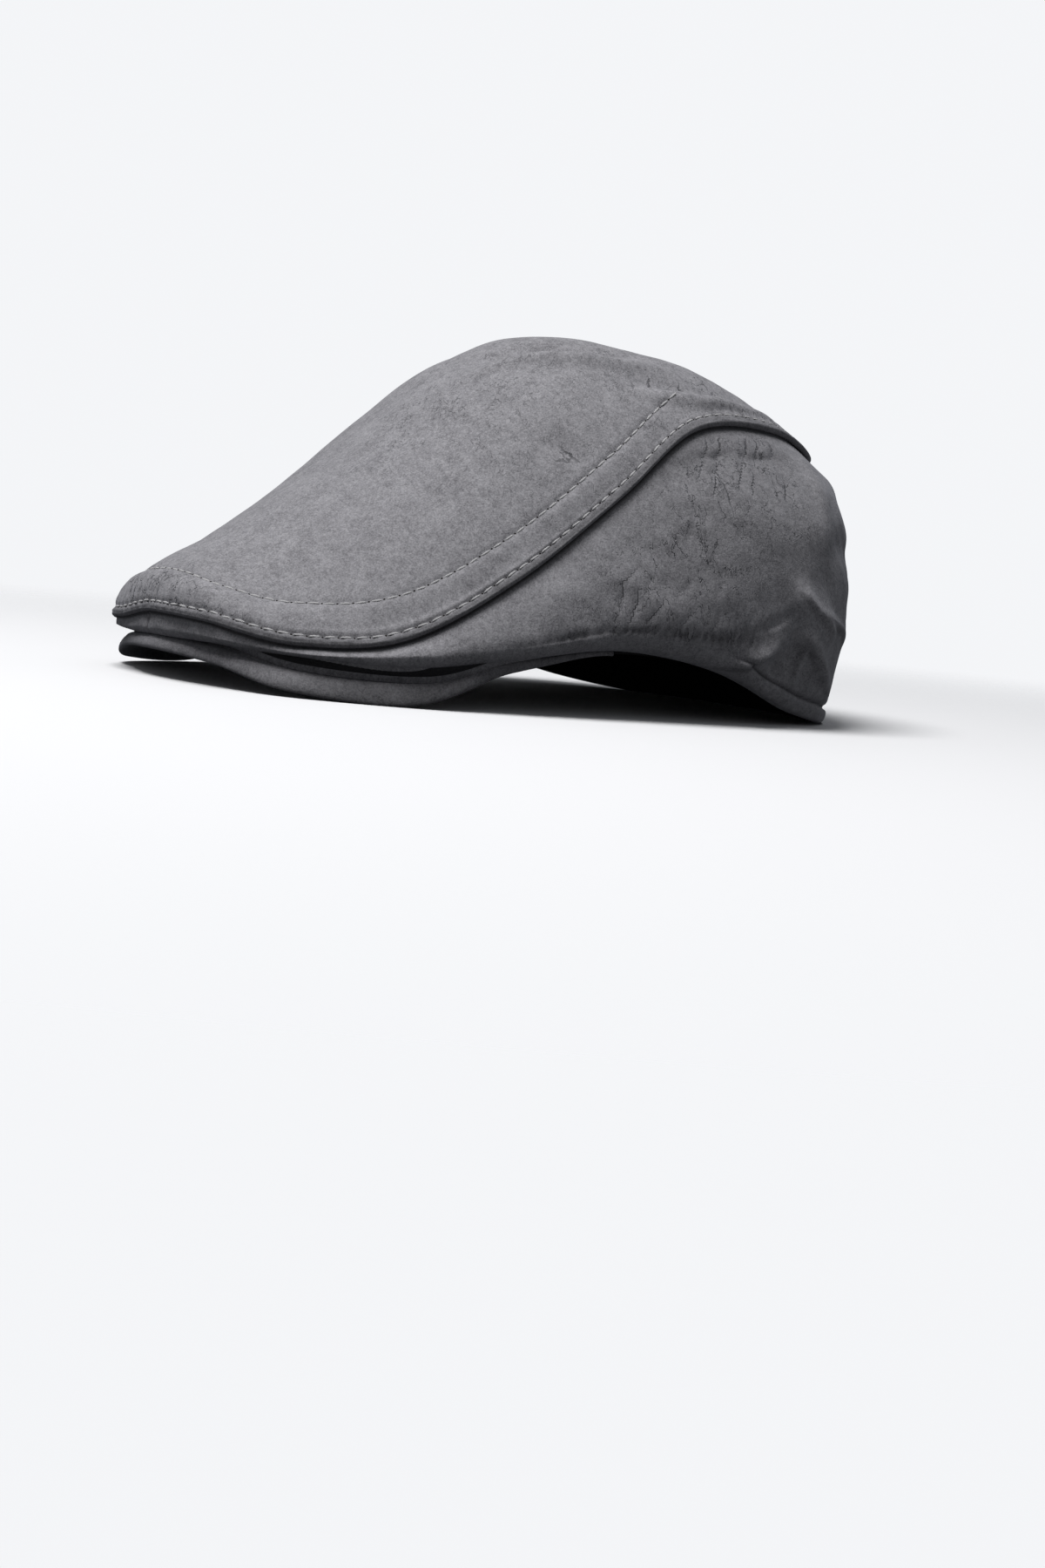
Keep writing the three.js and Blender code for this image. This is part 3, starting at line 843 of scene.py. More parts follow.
suede_cloth = suede("suede cloth", SUEDE_DARK, SUEDE_LIGHT)
cloth_back = plain_cloth("cloth back", (0.020, 0.020, 0.022), (0.045, 0.045, 0.048))
band_cloth = plain_cloth("band cloth", (0.008, 0.008, 0.009), (0.020, 0.020, 0.022), 1900)
thread = plain_cloth("sewing thread", (0.34, 0.335, 0.34), (0.52, 0.515, 0.52), 3500)
# Dark discs of painted shade, standing for the holes that the needle leaves
needle_hole_shade = plain_cloth("needle hole shade", (0.012, 0.010, 0.009), (0.020, 0.017, 0.015))
print("materials:", [m.name for m in bpy.data.materials])

# %% [markdown]
# ## The top panel
# The top panel's edge is folded under and topstitched twice. The first row holds the fold and
# sits in a shallow channel that puckers between the stitches. The second row, further in, runs
# from the nose to the crown only. The fold makes the edge stand proud of the side panels. All of
# it could be a bump texture, but it is moved in the mesh, because it catches the light and shows
# at the outline.

# %% Top panel sizes
INNER_ROW_INSET, INNER_ROW_END = 16.5, 0.655
STITCH_PITCH = 5.0
AROUND = 250
TOP_TURNS = np.linspace(0, 1, AROUND + 1)
EDGE_INSETS = [22, 20, 18.6, 17.8, 17.2, 16.5, 15.8, 15.2, 14.4, 13, 11.4, 9.8, 8.6, 7.6, 6.8, 6.0,
               5.4, 4.9, 4.5, 4.2, 3.9, 3.5, 3.0, 2.5, 2.0, 1.5, 1.1]
NOSE_ANGLES = np.linspace(0, np.pi, 9)
CROWN_STEPS = 44


def edge_row_inset(turn):
    """The row that holds the fold comes closer to the edge round the nose."""
    return mix(2.9, 4.3, ease(turn, 0.30, 0.60))


def arc_lengths(points):
    steps = np.linalg.norm(np.diff(points, axis=0), axis=-1)
    return np.concatenate([[0], np.cumsum(steps)])


def stitch_count(length, closed):
    count = round(length / STITCH_PITCH)
    return count if closed else count + 1


edge_run = arc_lengths(crown(TOP_TURNS, 1 - inset_share(TOP_TURNS, edge_row_inset(TOP_TURNS))))
EDGE_STITCHES = stitch_count(2 * edge_run[-1], closed=True)
print("edge row:", round(2 * edge_run[-1]), "mm,", EDGE_STITCHES, "stitches")


# %% Top panel relief values
# Painted shade on the rolled edge and in its puckers
EDGE_SHADE, PUCKER_SHADE = 0.4, 0.3
FOLD_FROM, FOLD_FULL = 6.4, 4.6
CHANNEL_DEPTH, CHANNEL_WIDTH = 0.5, 0.8
PUCKER_DEPTH, PUCKER_PLACE, PUCKER_WIDTH = 0.65, 0.6, 2.2
INNER_DEPTH, INNER_PUCKER, INNER_WIDTH, INNER_FADE = 0.35, 0.2, 1.3, 0.02
PAD_RISE, PAD_INSET, PAD_WIDTH = 0.25, 12.5, 3.0
PLUMP_RISE, PLUMP_INSET, PLUMP_WIDTH = 2.3, 8.0, 6.0
NOSE_CREASE_DEPTH, NOSE_CREASE_WIDTH, NOSE_CREASE_SLANT = 0.6, 1.0, 0.25
NOSE_CREASE_INSET, NOSE_CREASE_LONG = 5.0, 5.0
CREASED_FROM, CREASED_FULL, CROWN_HAIR_DEPTH = 4.0, 10.0, 0.3
NOSE_CREASES = [0.008, 0.021, 0.033, 0.047, 0.06, 0.072, 0.088, 0.1, 0.118, 0.135]


# %% Creases of the crown
def crown_crease(points, soft, sharp, rise):
    """A crease of the top panel along a line in plan, in millimetres across and along."""
    line = np.column_stack([np.array(points, float), np.zeros(len(points))])
    return {"line": line, "facing": UP, "soft": soft, "sharp": sharp, "rise": rise, "tapered": True}


CROWN_CREASES = [
    crown_crease([(14, -30), (26, -17), (37, -4), (42, 12), (43, 38)], 4.0, 2.6, 2.8),
    crown_crease([(7, -23), (18, -9), (29, 3), (34, 15), (35, 36)], 4.5, 3.0, -2.4),
    crown_crease([(54, 10), (59, 25), (61, 40), (59, 62), (52, 82)], 4.0, 2.4, 2.2),
    crown_crease([(48, 14), (52, 27), (54, 40), (52, 60), (46, 78)], 4.0, 2.4, -1.8),
    crown_crease([(62, -22), (70, -11)], 3.4, 2.2, -1.4),
    crown_crease([(10, -58), (38, -44), (68, -18)], 10.0, 5.0, -0.8),
    crown_crease([(20, 62), (32, 78), (36, 98)], 4.0, 1.8, -0.6),
    crown_crease([(-60, 0), (-54, 30), (-40, 60)], 8.0, 3.0, -0.8),
    crown_crease([(-14, -84), (-44, -66), (-64, -40)], 10.0, 5.0, -0.6),
]


# %% Thin creases of the crown
CROWN_HAIR_BOW = 0.6


def crown_hairline(across, along, to_across, to_along, strength):
    """A thin crease in plan that bows a little outwards."""
    middle = ((across + to_across) / 2 + CROWN_HAIR_BOW, (along + to_along) / 2, 0)
    line = np.array([(across, along, 0), middle, (to_across, to_along, 0)], float)
    return thin_crease(line, UP, strength)


CROWN_HAIRLINES = [
    crown_hairline(50, 18, 55, 15, 0.45),
    crown_hairline(47, 27, 56, 22, 0.6),
    crown_hairline(52, 30, 57, 29, 0.35),
    crown_hairline(48, 39, 58, 36, 0.65),
    crown_hairline(53, 42, 58, 44, 0.4),
    crown_hairline(47, 55, 57, 51, 0.5),
    crown_hairline(50, 63, 55, 66, 0.35),
    crown_hairline(46, 72, 55, 69, 0.5),
    crown_hairline(64, -18, 70, -13, 0.55),
    crown_hairline(33, 2, 40, 8, 0.4),
    crown_hairline(66, -22, 69, -15, 0.4),
    crown_hairline(30, -8, 36, -2, 0.4),
]


print("crown creases:", len(CROWN_CREASES), "wide and", len(CROWN_HAIRLINES), "thin")


# %% Top panel relief
def edge_raise(turn):
    """How proud the folded edge stands, less at both ends where the seam lies flatter."""
    return FOLD_RAISE * (1 - 0.7 * ease(turn, 0.74, 0.86) - 0.6 * ease(turn, 0.30, 0.16))


def stitch_puckers(turn):
    """1 in the middle of each stitch of the edge row and 0 between two stitches."""
    run = np.interp(turn, TOP_TURNS, edge_run)
    pitch = 2 * edge_run[-1] / EDGE_STITCHES
    return 0.5 + 0.5 * np.cos(2 * np.pi * run / pitch)


def top_relief(turn, inset, points):
    """How far the top panel's face stands out of the smooth crown, in millimetres."""
    puckers, from_row = stitch_puckers(turn), inset - edge_row_inset(turn)
    height = edge_raise(turn) * ease(inset, FOLD_FROM, FOLD_FULL)
    height = height + PLUMP_RISE * bank(inset - PLUMP_INSET, PLUMP_WIDTH) * ease(turn, 0.34, 0.14)
    height = height - CHANNEL_DEPTH * bank(from_row, CHANNEL_WIDTH)
    height = height - PUCKER_DEPTH * (1 - puckers) * bank(from_row - PUCKER_PLACE, PUCKER_WIDTH)
    inner = ease(turn, INNER_ROW_END + INNER_FADE, INNER_ROW_END - INNER_FADE)
    inner_depth = INNER_DEPTH + INNER_PUCKER * puckers
    height = height - inner * inner_depth * bank(inset - INNER_ROW_INSET, INNER_WIDTH)
    height = height + inner * PAD_RISE * bank(inset - PAD_INSET, PAD_WIDTH)
    for place in NOSE_CREASES:
        off = (turn - place) * edge_run[-1] + NOSE_CREASE_SLANT * (inset - NOSE_CREASE_INSET)
        long = bank(inset - NOSE_CREASE_INSET, NOSE_CREASE_LONG)
        height = height - NOSE_CREASE_DEPTH * bank(off, NOSE_CREASE_WIDTH) * long
    flat = points * [1, 1, 0]
    away = ease(inset, CREASED_FROM, CREASED_FULL)
    height = height + away * fold_height(CROWN_CREASES, flat)
    height = height - CROWN_HAIR_DEPTH * thin_dents(thin_layers(CROWN_HAIRLINES, flat))
    return height + 0.35 * away * swell(points, 34, 3) + 0.12 * swell(points, 11, 4)


# %% Top panel marks
EVERYWHERE = 1e6
CRACKLE_PATCHES = np.array([
    (44, 26, 78, 30, 0.90),
    (0, EVERYWHERE, 10, 60, 0.25),
    (22, 30, -46, 26, 0.35),
])


def crown_crackle(points):
    """How much crackle each patch gives, from where it lies across and along and how wide it is."""
    return sum(strength * bank(points[..., 0] - across, wide) * bank(points[..., 1] - along, tall)
               for across, wide, along, tall, strength in CRACKLE_PATCHES)


def top_marks(turn, inset, points):
    """What the shader reads: crackle, thin creases, and painted shade on the rolled edge and in the
    puckers between its stitches.
    """
    creased = bank(turn, 0.13) * bank(inset, 22) + crown_crackle(points)
    from_row = inset - edge_row_inset(turn)
    # Painted shade: the rolled edge outside the row darker, and the dip between each two stitches.
    shaded = EDGE_SHADE * ease(from_row, 0.2, -1.6)
    shaded = shaded + PUCKER_SHADE * (1 - stitch_puckers(turn)) * bank(from_row, 1.5)
    marks = {"creased": np.clip(creased, 0, 1), "shaded": shaded}
    return marks | thin_layers(CROWN_HAIRLINES, points * [1, 1, 0])


# %% Build the top panel
NOSE_REACH = 0.75
BACK_FOLLOWS_FROM, BACK_FOLLOWS_FULL = 3.0, 9.0


def top_grid(side):
    """Half of the top panel, side being 1 for the wearer's left and -1 for the right."""
    turns = TOP_TURNS[:, None]
    per_mm = inset_share(TOP_TURNS, 1.0)[:, None]
    insets = np.array(EDGE_INSETS)[None, :]
    inner_outs = np.linspace(0, 1, CROWN_STEPS, endpoint=False)[None, :] * (1 - per_mm * EDGE_INSETS[0])
    outs = np.concatenate([inner_outs, 1 - per_mm * insets], axis=1)
    distance = (1 - outs) / per_mm
    points = crown(turns, outs)
    normals = crown_normal(turns, outs)
    places = points * [side, 1.0, 1.0]
    relief = top_relief(np.broadcast_to(turns, outs.shape), distance, places)
    face = points + normals * relief[..., None]
    marks = top_marks(turns, distance, places)
    stands = edge_raise(turns)
    half_wall = (CLOTH + stands) / 2
    reach = half_wall * NOSE_REACH
    nose_out = 1 - per_mm * reach * (1 - np.sin(NOSE_ANGLES))[None, :]
    depth = -stands + half_wall * (1 - np.cos(NOSE_ANGLES))[None, :]
    nose = crown(turns, nose_out) - crown_normal(turns, nose_out) * depth[..., None]
    followed = ease(distance, BACK_FOLLOWS_FROM, BACK_FOLLOWS_FULL)
    back = points + normals * (relief * followed - CLOTH)[..., None]
    # The rounded edge and the cloth turned under it get the rolled edge's painted shade; the lining's
    # material doesn't read it.
    rest = np.zeros((len(turns), nose.shape[1] + back.shape[1]))
    marks = {label: np.concatenate([values, rest + EDGE_SHADE * (label == "shaded")], axis=1)
             for label, values in marks.items()}
    return np.concatenate([face, nose, back[:, ::-1]], axis=1) * [side, 1.0, 1.0], marks


near, near_marks = top_grid(1.0)
far, far_marks = top_grid(-1.0)
face_rows = CROWN_STEPS + len(EDGE_INSETS)
lining_rows = list(range(face_rows + len(NOSE_ANGLES) + 1, near.shape[1]))
ring_marks = {label: full_ring(near_marks[label], far_marks[label]) for label in near_marks}
top_panel = cloth_object("top_panel_cloth", full_ring(near, far), lining_rows, [suede_cloth, cloth_back],
                         ring=True, marks=ring_marks)
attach(top_panel, "root")
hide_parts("top_panel")

# %% [markdown]
# ## The side panels
# The side panel is the busiest piece. It tucks under the top panel, is gathered into folds in
# front of the hem, and its hem is a padded roll below a sewn groove. The folds are moved in
# the mesh itself, because a fold that is only bump vanishes at the outline. The places round the
# cap stand closer where the folds are, so that the faces are spent there.

# %% Side panel sizes
HEM_TALL, HEM_FROM, HEM_FULL = 5.2, 0.655, 0.70
UPPER_STEPS, LOWER_STEPS, TURN_IN_STEPS = 62, 62, 10
FOLDED_FROM, FOLDED_TO = 0.53, 0.87
SIDE_TURNS = np.concatenate([
    np.linspace(0, FOLDED_FROM, 100, endpoint=False),
    np.linspace(FOLDED_FROM, FOLDED_TO, 145, endpoint=False),
    np.linspace(FOLDED_TO, 1, 40),
])


print("places round a side panel:", len(SIDE_TURNS))


# %% Thin creases of the side panel
HAIR_SWAY = 0.003


def side_hairline(turn, down, to_turn, to_down, strength=1.0):
    """A thin crease that sways a little, to the rear and then to the front."""
    share = np.linspace(0, 1, 4)
    turns = mix(turn, to_turn, share) + HAIR_SWAY * np.sin(np.pi * share * 1.5)
    line = panel_point(turns, mix(down, to_down, share))
    return thin_crease(line, outward(belly_line, turns.mean()), strength)


SIDE_HAIRLINES = [
    side_hairline(0.692, 0.02, 0.655, 0.21),
    side_hairline(0.725, 0.03, 0.686, 0.21),
    side_hairline(0.541, 0.36, 0.540, 0.51),
    side_hairline(0.676, 0.02, 0.643, 0.15, 0.7),
    side_hairline(0.712, 0.13, 0.701, 0.23, 0.8),
    side_hairline(0.640, 0.21, 0.637, 0.30, 0.7),
    side_hairline(0.557, 0.42, 0.550, 0.59),
    side_hairline(0.560, 0.32, 0.541, 0.38, 0.7),
    side_hairline(0.622, 0.25, 0.614, 0.33, 0.7),
    side_hairline(0.642, 0.37, 0.630, 0.46, 0.8),
    side_hairline(0.585, 0.48, 0.567, 0.61, 0.8),
    side_hairline(0.558, 0.43, 0.583, 0.46, 0.6),
    side_hairline(0.616, 0.45, 0.598, 0.52, 0.7),
    side_hairline(0.530, 0.50, 0.536, 0.57, 0.6),
    side_hairline(0.745, 0.16, 0.740, 0.26, 0.6),
    side_hairline(0.604, 0.27, 0.600, 0.34, 0.5),
    side_hairline(0.655, 0.24, 0.660, 0.33, 0.5),
    side_hairline(0.572, 0.38, 0.566, 0.46, 0.8),
    side_hairline(0.665, 0.10, 0.672, 0.30, 0.6),
    side_hairline(0.595, 0.36, 0.590, 0.45, 0.6),
    side_hairline(0.735, 0.02, 0.728, 0.11, 0.7),
    side_hairline(0.648, 0.44, 0.640, 0.56, 0.5),
    side_hairline(0.755, 0.03, 0.748, 0.14, 0.6),
    side_hairline(0.610, 0.56, 0.604, 0.66, 0.7),
    side_hairline(0.575, 0.62, 0.570, 0.68, 0.6),
    side_hairline(0.640, 0.60, 0.636, 0.72, 0.6),
    side_hairline(0.680, 0.62, 0.676, 0.70, 0.6),
]


print("thin creases of the side:", len(SIDE_HAIRLINES))


# %% Side panel folds
BACK_RISE, WAIST_RISE, FOOT_RISE = 3.0, -1.6, -1.8
BACK_PATCH, WAIST_PATCH = (0.91, 0.06, 0.09, 0.09), (0.86, 0.06, 0.44, 0.08)
SHADE_POWER = 0.5


def patch(turn, down, middle, wide, level, tall):
    """1 in the middle of a patch of the side panel, falling off round and down from it."""
    return bank(turn - middle, wide) * bank(down - level, tall)


def fold_shade(points):
    """Painted shade inside folds: just beyond the sharp side of a fold, and along the middle of a dent."""
    shade = np.zeros(points.shape[:-1])
    for fold in DARK_FOLDS:
        distance, side, share = along_line(points, fold["line"], fold["facing"])
        inside = (side < 0) * bank(distance - 1.4, 1.0)
        shade = np.maximum(shade, thin_ends(share, SHADE_POWER) * inside)
    for fold in DARK_DENTS:
        distance, _, share = along_line(points, fold["line"], fold["facing"])
        shade = np.maximum(shade, thin_ends(share, SHADE_POWER) * bank(distance, 1.5))
    return shade


def side_folds(turn, down, points, share):
    """Folds that both faces of the cloth follow, and the fuller back just below the seam."""
    back = BACK_RISE * patch(turn, down, *BACK_PATCH) * np.clip(down * 12, 0, 1)
    waist = WAIST_RISE * patch(turn, down, *WAIST_PATCH)
    foot = FOOT_RISE * ease(turn, 0.82, 0.90) * bank(down - 1.0, 0.07)
    folds = fold_height(BROAD_FOLDS, points) + fold_height(FINE_FOLDS, points)
    return folds * share + back + waist + foot


# %% Hem, roll and seams of the side panel
HEM_PADDING, GROOVE_DEPTH, GROOVE_WIDTH, GROOVE_BELOW = 0.9, 1.3, 1.0, 0.7
REAR_SEAM_DEPTH, REAR_SEAM_WIDTH, FRONT_SEAM_DEPTH, FRONT_SEAM_WIDTH = 0.9, 1.4, 0.6, 1.2
CRINKLE_PITCH, CRINKLE_FLOOR, CRINKLE_RISE = 3.1, 0.3, 0.7
SIDE_HAIR_DEPTH = 0.4


def hem_part(turn, down, points):
    """How far the hem is reached along the rim, and the height above the rim."""
    above = points[..., 2] - rim_line(turn)[..., 2]
    return ease(turn, HEM_FROM, HEM_FULL) * (down > BELLY_PLACE), above


def above_groove(above):
    """The height over the middle of the hem's sewn groove."""
    return above - HEM_TALL - GROOVE_BELOW


def roll_band(turn, down):
    """How near a point is to the line where the cloth starts to roll under."""
    middle = 0.60 + 0.13 * ease(turn, 0.50, 0.64)
    return bank(down - middle, 0.035) * ease(turn, 0.42, 0.50) * ease(turn, 0.72, 0.68)


def roll_crinkles(turn, down, points):
    """Small upright puckers where the cloth turns under above the peak's tip."""
    run = points[..., 1] + 1.2 * swell(points, 9, 31)
    wave = np.clip(np.sin(run * 2 * np.pi / CRINKLE_PITCH) + 0.7 * swell(points, 7, 32), -0.3, 1)
    return roll_band(turn, down) * (CRINKLE_FLOOR + CRINKLE_RISE * wave)


def side_detail(turn, down, points, share):
    """Everything finer than the folds: hem, seams at both ends, crinkles and slow swells."""
    hem, above = hem_part(turn, down, points)
    tall = HEM_TALL * ease(turn, HEM_FROM, HEM_FULL)
    padded = np.sqrt(np.clip(1 - ((above - tall / 2) / (tall / 2 + 1e-6)) ** 2, 0, 1))
    height = hem * (HEM_PADDING * padded - GROOVE_DEPTH * bank(above_groove(above), GROOVE_WIDTH))
    ends = np.abs(points[..., 0])
    height = height - REAR_SEAM_DEPTH * bank(ends, REAR_SEAM_WIDTH) * (turn > 0.5)
    height = height - FRONT_SEAM_DEPTH * bank(ends, FRONT_SEAM_WIDTH) * (turn < 0.5)
    height = height - roll_crinkles(turn, down, points)
    height = height - SIDE_HAIR_DEPTH * thin_dents(thin_layers(SIDE_HAIRLINES, points))
    return height + share * (0.5 * swell(points, 30, 11) + 0.25 * swell(points, 11, 12))


# %% Side panel marks
TEMPLE_PATCH, REAR_PATCH, UPPER_PATCH = (
    (0.60, 0.075, 0.42, 0.20), (0.735, 0.035, 0.20, 0.17), (0.66, 0.05, 0.12, 0.12))
UPPER_CRACKLE, ALL_CRACKLE = 0.7, 0.05
# Strengths of painted shade: under the top panel's edge, in the hem's groove, inside folds, along the
# roll, in its crinkles and over the upper rear of the side
SEAM_SHADE, GROOVE_SHADE, GROOVE_SHADE_WIDTH, FOLDS_SHADE = 0.85, 0.7, 0.5, 0.45
ROLL_SHADE, CRINKLE_SHADE, REAR_SHADE, DARKEST = 0.2, 0.25, 0.17, 0.9


def side_crackle(turn, down):
    temple, rear, upper = (patch(turn, down, *place) for place in (TEMPLE_PATCH, REAR_PATCH, UPPER_PATCH))
    crackled = temple + rear + UPPER_CRACKLE * upper + roll_band(turn, down) + ALL_CRACKLE
    return np.clip(crackled, 0, 1)


def side_marks(turn, down, points):
    """What the shader reads: crackle, thin creases, and painted shade under the seam, in the hem's groove,
    inside folds, along the roll and its crinkles and over the upper rear.
    """
    hem, above = hem_part(turn, down, points)
    below_seam = np.linalg.norm(points - side_upper(turn, np.zeros_like(turn), 0.0), axis=-1)
    # Painted shade, summed: under the seam, in the hem's groove, inside folds and dents, along the roll
    # and its crinkles, and over the upper rear of the side.
    shaded = SEAM_SHADE * bank(below_seam, mix(0.8, 1.1, ease(turn, 0.15, 0.3))) * (down < BELLY_PLACE)
    shaded = shaded + GROOVE_SHADE * hem * bank(above_groove(above), GROOVE_SHADE_WIDTH)
    shaded = shaded + FOLDS_SHADE * fold_shade(points) + ROLL_SHADE * roll_band(turn, down)
    shaded = shaded + CRINKLE_SHADE * roll_crinkles(turn, down, points)
    shaded = shaded + REAR_SHADE * ease(turn, 0.50, 0.64) * ease(down, 0.64, 0.42)
    marks = {"creased": side_crackle(turn, down), "shaded": np.clip(shaded, 0, DARKEST)}
    return marks | thin_layers(SIDE_HAIRLINES, points)


# %% Build the side panels
LAP_STEPS, SEAT_SINK = 5, 0.8


def side_grid():
    """The wearer's left panel: its lap, its upper and lower half and the cloth turned in."""
    turns = SIDE_TURNS[:, None]
    outside, inside, marks = [], [], []

    def add(outer, inner, turn, down):
        outside.append(outer)
        inside.append(inner)
        marks.append(side_marks(turn, down, outer))

    steps = np.linspace(1, 0, LAP_STEPS, endpoint=False)[None, :]
    lap = inset_share(SIDE_TURNS, SEAM_LAP)[:, None] * steps
    layer = np.zeros_like(lap) + CLOTH + SEAM_GAP
    add(crown_layer(turns, 1 - lap, layer), crown_layer(turns, 1 - lap, layer + CLOTH),
        turns + 0 * lap, 0 * lap)

    turn, down = np.broadcast_arrays(turns, np.linspace(0, 1, UPPER_STEPS, endpoint=False)[None, :])
    outer, inner = side_upper(turn, down, 0.0), side_upper(turn, down, CLOTH)
    share = np.clip(down * 3, 0, 1)
    folds = side_folds(turn, down * BELLY_PLACE, outer, share)
    relief = folds + side_detail(turn, down * BELLY_PLACE, outer, share) * np.clip(down * 8, 0, 1)
    level = outward(belly_line, turns)
    add(outer + level * relief[..., None], inner + level * folds[..., None], turn, down * BELLY_PLACE)

    turn, down = np.broadcast_arrays(turns, np.linspace(0, 1, LOWER_STEPS + 1)[None, :])
    depth = mix(CLOTH, HEM_CLOTH, hem_share(turn) * down**2)
    outer, inner = side_lower(turn, down, 0.0), side_lower(turn, down, depth)
    share = 1 - down**3
    place = BELLY_PLACE + down * (1 - BELLY_PLACE)
    folds = side_folds(turn, place, outer, share)
    relief = folds + side_detail(turn, place, outer, share)
    add(outer + level * relief[..., None], inner + level * folds[..., None], turn, place)

    inners = np.linspace(0, 1, TURN_IN_STEPS + 1)[None, 1:]
    point = raised(peak_top(turns, inners), SEAM_GAP)
    seat_height = rim_line(turns)[..., 2] + HEM_CLOTH * (1 - SEAT_SINK * inners)
    seat = with_height(np.broadcast_to(piece_line(turns), point.shape), seat_height)
    over = mix(raised(point, CLOTH), seat, np.broadcast_to(hem_share(turns), point.shape[:2])[..., None])
    add(point, over, turns + 0 * inners, 1 + 0 * (turns + inners))
    outer, inner = np.concatenate(outside, axis=1), np.concatenate(inside, axis=1)
    for face in (outer, inner):
        face[..., 0] = np.maximum(face[..., 0], 0)
    shown = {label: np.concatenate([part[label] for part in marks], axis=1) for label in marks[0]}
    shown = {label: np.concatenate([values, 0 * values], axis=1) for label, values in shown.items()}
    return np.concatenate([outer, inner[:, ::-1]], axis=1), shown


grid, marks = side_grid()
rows = grid.shape[1]
lining_rows = list(range(rows // 2, rows - 1))
for name, node, sign in (("side_panel_left_cloth", "side_panel_left", 1.0),
                         ("side_panel_right_cloth", "side_panel_right", -1.0)):
    side_panel = cloth_object(name, grid * [sign, 1.0, 1.0], lining_rows, [suede_cloth, cloth_back],
                              loop=True, marks=marks)
    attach(side_panel, "root")
    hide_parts(node)

# %% [markdown]
# ## The peak
# The peak is a stiff board between two layers of the same cloth. Its outer edge is rounded and
# a little padded, with a faint groove behind the padding. A flat outline could be thickened and
# bent, but the same closed grid as before follows the edge and the brow line exactly.

# %% Peak sizes
PEAK_AROUND, PEAK_STEPS, PEAK_NOSE_STEPS = 170, 40, 12
EDGE_PAD, PAD_STANDS, PAD_SPREAD = 5.0, 0.25, 1.6
JOIN_DEPTH, JOIN_WIDTH, JOIN_UNDER = 0.35, 0.8, 0.6
# PEAK_SHADE and TURN_SHADE are painted shade on the peak
PEAK_CRACKLE, PEAK_SHADE, TURN_SHADE = 0.2, 0.20, 0.36
print("peak grid:", 2 * PEAK_AROUND + 1, "places")


# %% Build the peak
def peak_grid():
    turns = np.linspace(0, PEAK_TIP, PEAK_AROUND + 1)[:, None]
    half = peak_thickness(turns) / 2
    start = PEAK_TUCK * tip_share(turns)
    width = np.linalg.norm(peak_top(turns, start) - peak_top(turns, 1.0), axis=-1)
    nose = np.minimum(half / width, 0.4)
    shares = nose + (1 - nose) * np.linspace(0, 1, PEAK_STEPS + 1)[None, :] ** 1.6
    inset = shares * width
    inners = mix(start, 1, shares)
    before_tip = 1 - tip_share(turns)
    groove = JOIN_DEPTH * bank(inset - EDGE_PAD, JOIN_WIDTH) * before_tip
    rounded = PAD_STANDS * bank(inset - EDGE_PAD / 2, PAD_SPREAD) * before_tip
    top = raised(peak_top(turns, inners), rounded - groove)
    uneven = 0.25 * swell(top, 26, 21) * before_tip
    top = raised(top, uneven * ease(inset, 4, 14))
    under = raised(peak_top(turns, inners), -2 * half + groove * JOIN_UNDER)
    angle = np.linspace(0, np.pi, PEAK_NOSE_STEPS + 1)[None, 1:-1]
    round_in = mix(start, 1, nose * (1 - np.sin(angle)))
    edge = raised(peak_top(turns, round_in), half * (np.cos(angle) - 1))
    near = np.concatenate([top[:, ::-1], edge, under], axis=1)
    far = near[1:][::-1] * [-1.0, 1.0, 1.0]
    around = np.concatenate([turns[1:][::-1], turns])
    # Painted shade over the whole peak, deepest at its sides, part of the way to the tip
    shaded = PEAK_SHADE + TURN_SHADE * bank(around - 0.33, 0.15) + np.zeros((1, near.shape[1]))
    return np.concatenate([far, near]), {"creased": 0 * shaded + PEAK_CRACKLE, "shaded": shaded}


grid, peak_marks = peak_grid()
peak = cloth_object("peak_cloth", grid, [], [suede_cloth], loop=True, marks=peak_marks)
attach(peak, "root")
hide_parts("peak")

# %% [markdown]
# ## The head band
# The band is a folded strip of black cloth round the opening. It leans in a little and its
# upper edge is slightly wavy, because it is gathered. A curve with a flat bevel could twist in
# the turns of the brow line, so the band is a closed grid too, with round edges.

# %% Build the head band
BAND_STEPS, BAND_EDGE_STEPS = 16, 6
GATHER_DEPTH, GATHER_PITCHES = 0.35, (11.0, 47.0)


def band_grid():
    turns = np.linspace(0, 1, AROUND + 1)[:, None]
    low = mix(guide(BROW, turns)[..., 2], rim_line(turns)[..., 2] + BAND_LIFT, rim_share(turns))
    foot = with_height(head_line(turns), low)
    level = outward(head_line, turns)
    shares = np.linspace(0, 1, BAND_STEPS + 1)[None, :]
    run = arc_lengths(foot[:, 0])[:, None]
    short, long = (np.sin(2 * np.pi * run / pitch) for pitch in GATHER_PITCHES)
    gathers = GATHER_DEPTH * short * long
    lean = BAND_LEAN * shares + gathers * shares
    outer = raised(foot - level * lean[..., None], BAND_TALL * shares)
    inner = raised(foot - level * (lean + BAND_CLOTH)[..., None], BAND_TALL * shares)
    half = BAND_CLOTH / 2
    angle = np.linspace(0, np.pi, BAND_EDGE_STEPS + 1)[None, 1:-1]
    over = raised(foot - level * (lean[:, -1:] + half - half * np.cos(angle))[..., None],
                  BAND_TALL + half * np.sin(angle))
    under = raised(foot - level * (lean[:, :1] + half - half * np.cos(angle))[..., None],
                   -half * np.sin(angle))
    return np.concatenate([outer, over, inner[:, ::-1], under[:, ::-1]], axis=1)


head_band = cloth_object("head_band_cloth", full_ring(band_grid()), [], [band_cloth], ring=True, loop=True)
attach(head_band, "root")
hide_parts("head_band")

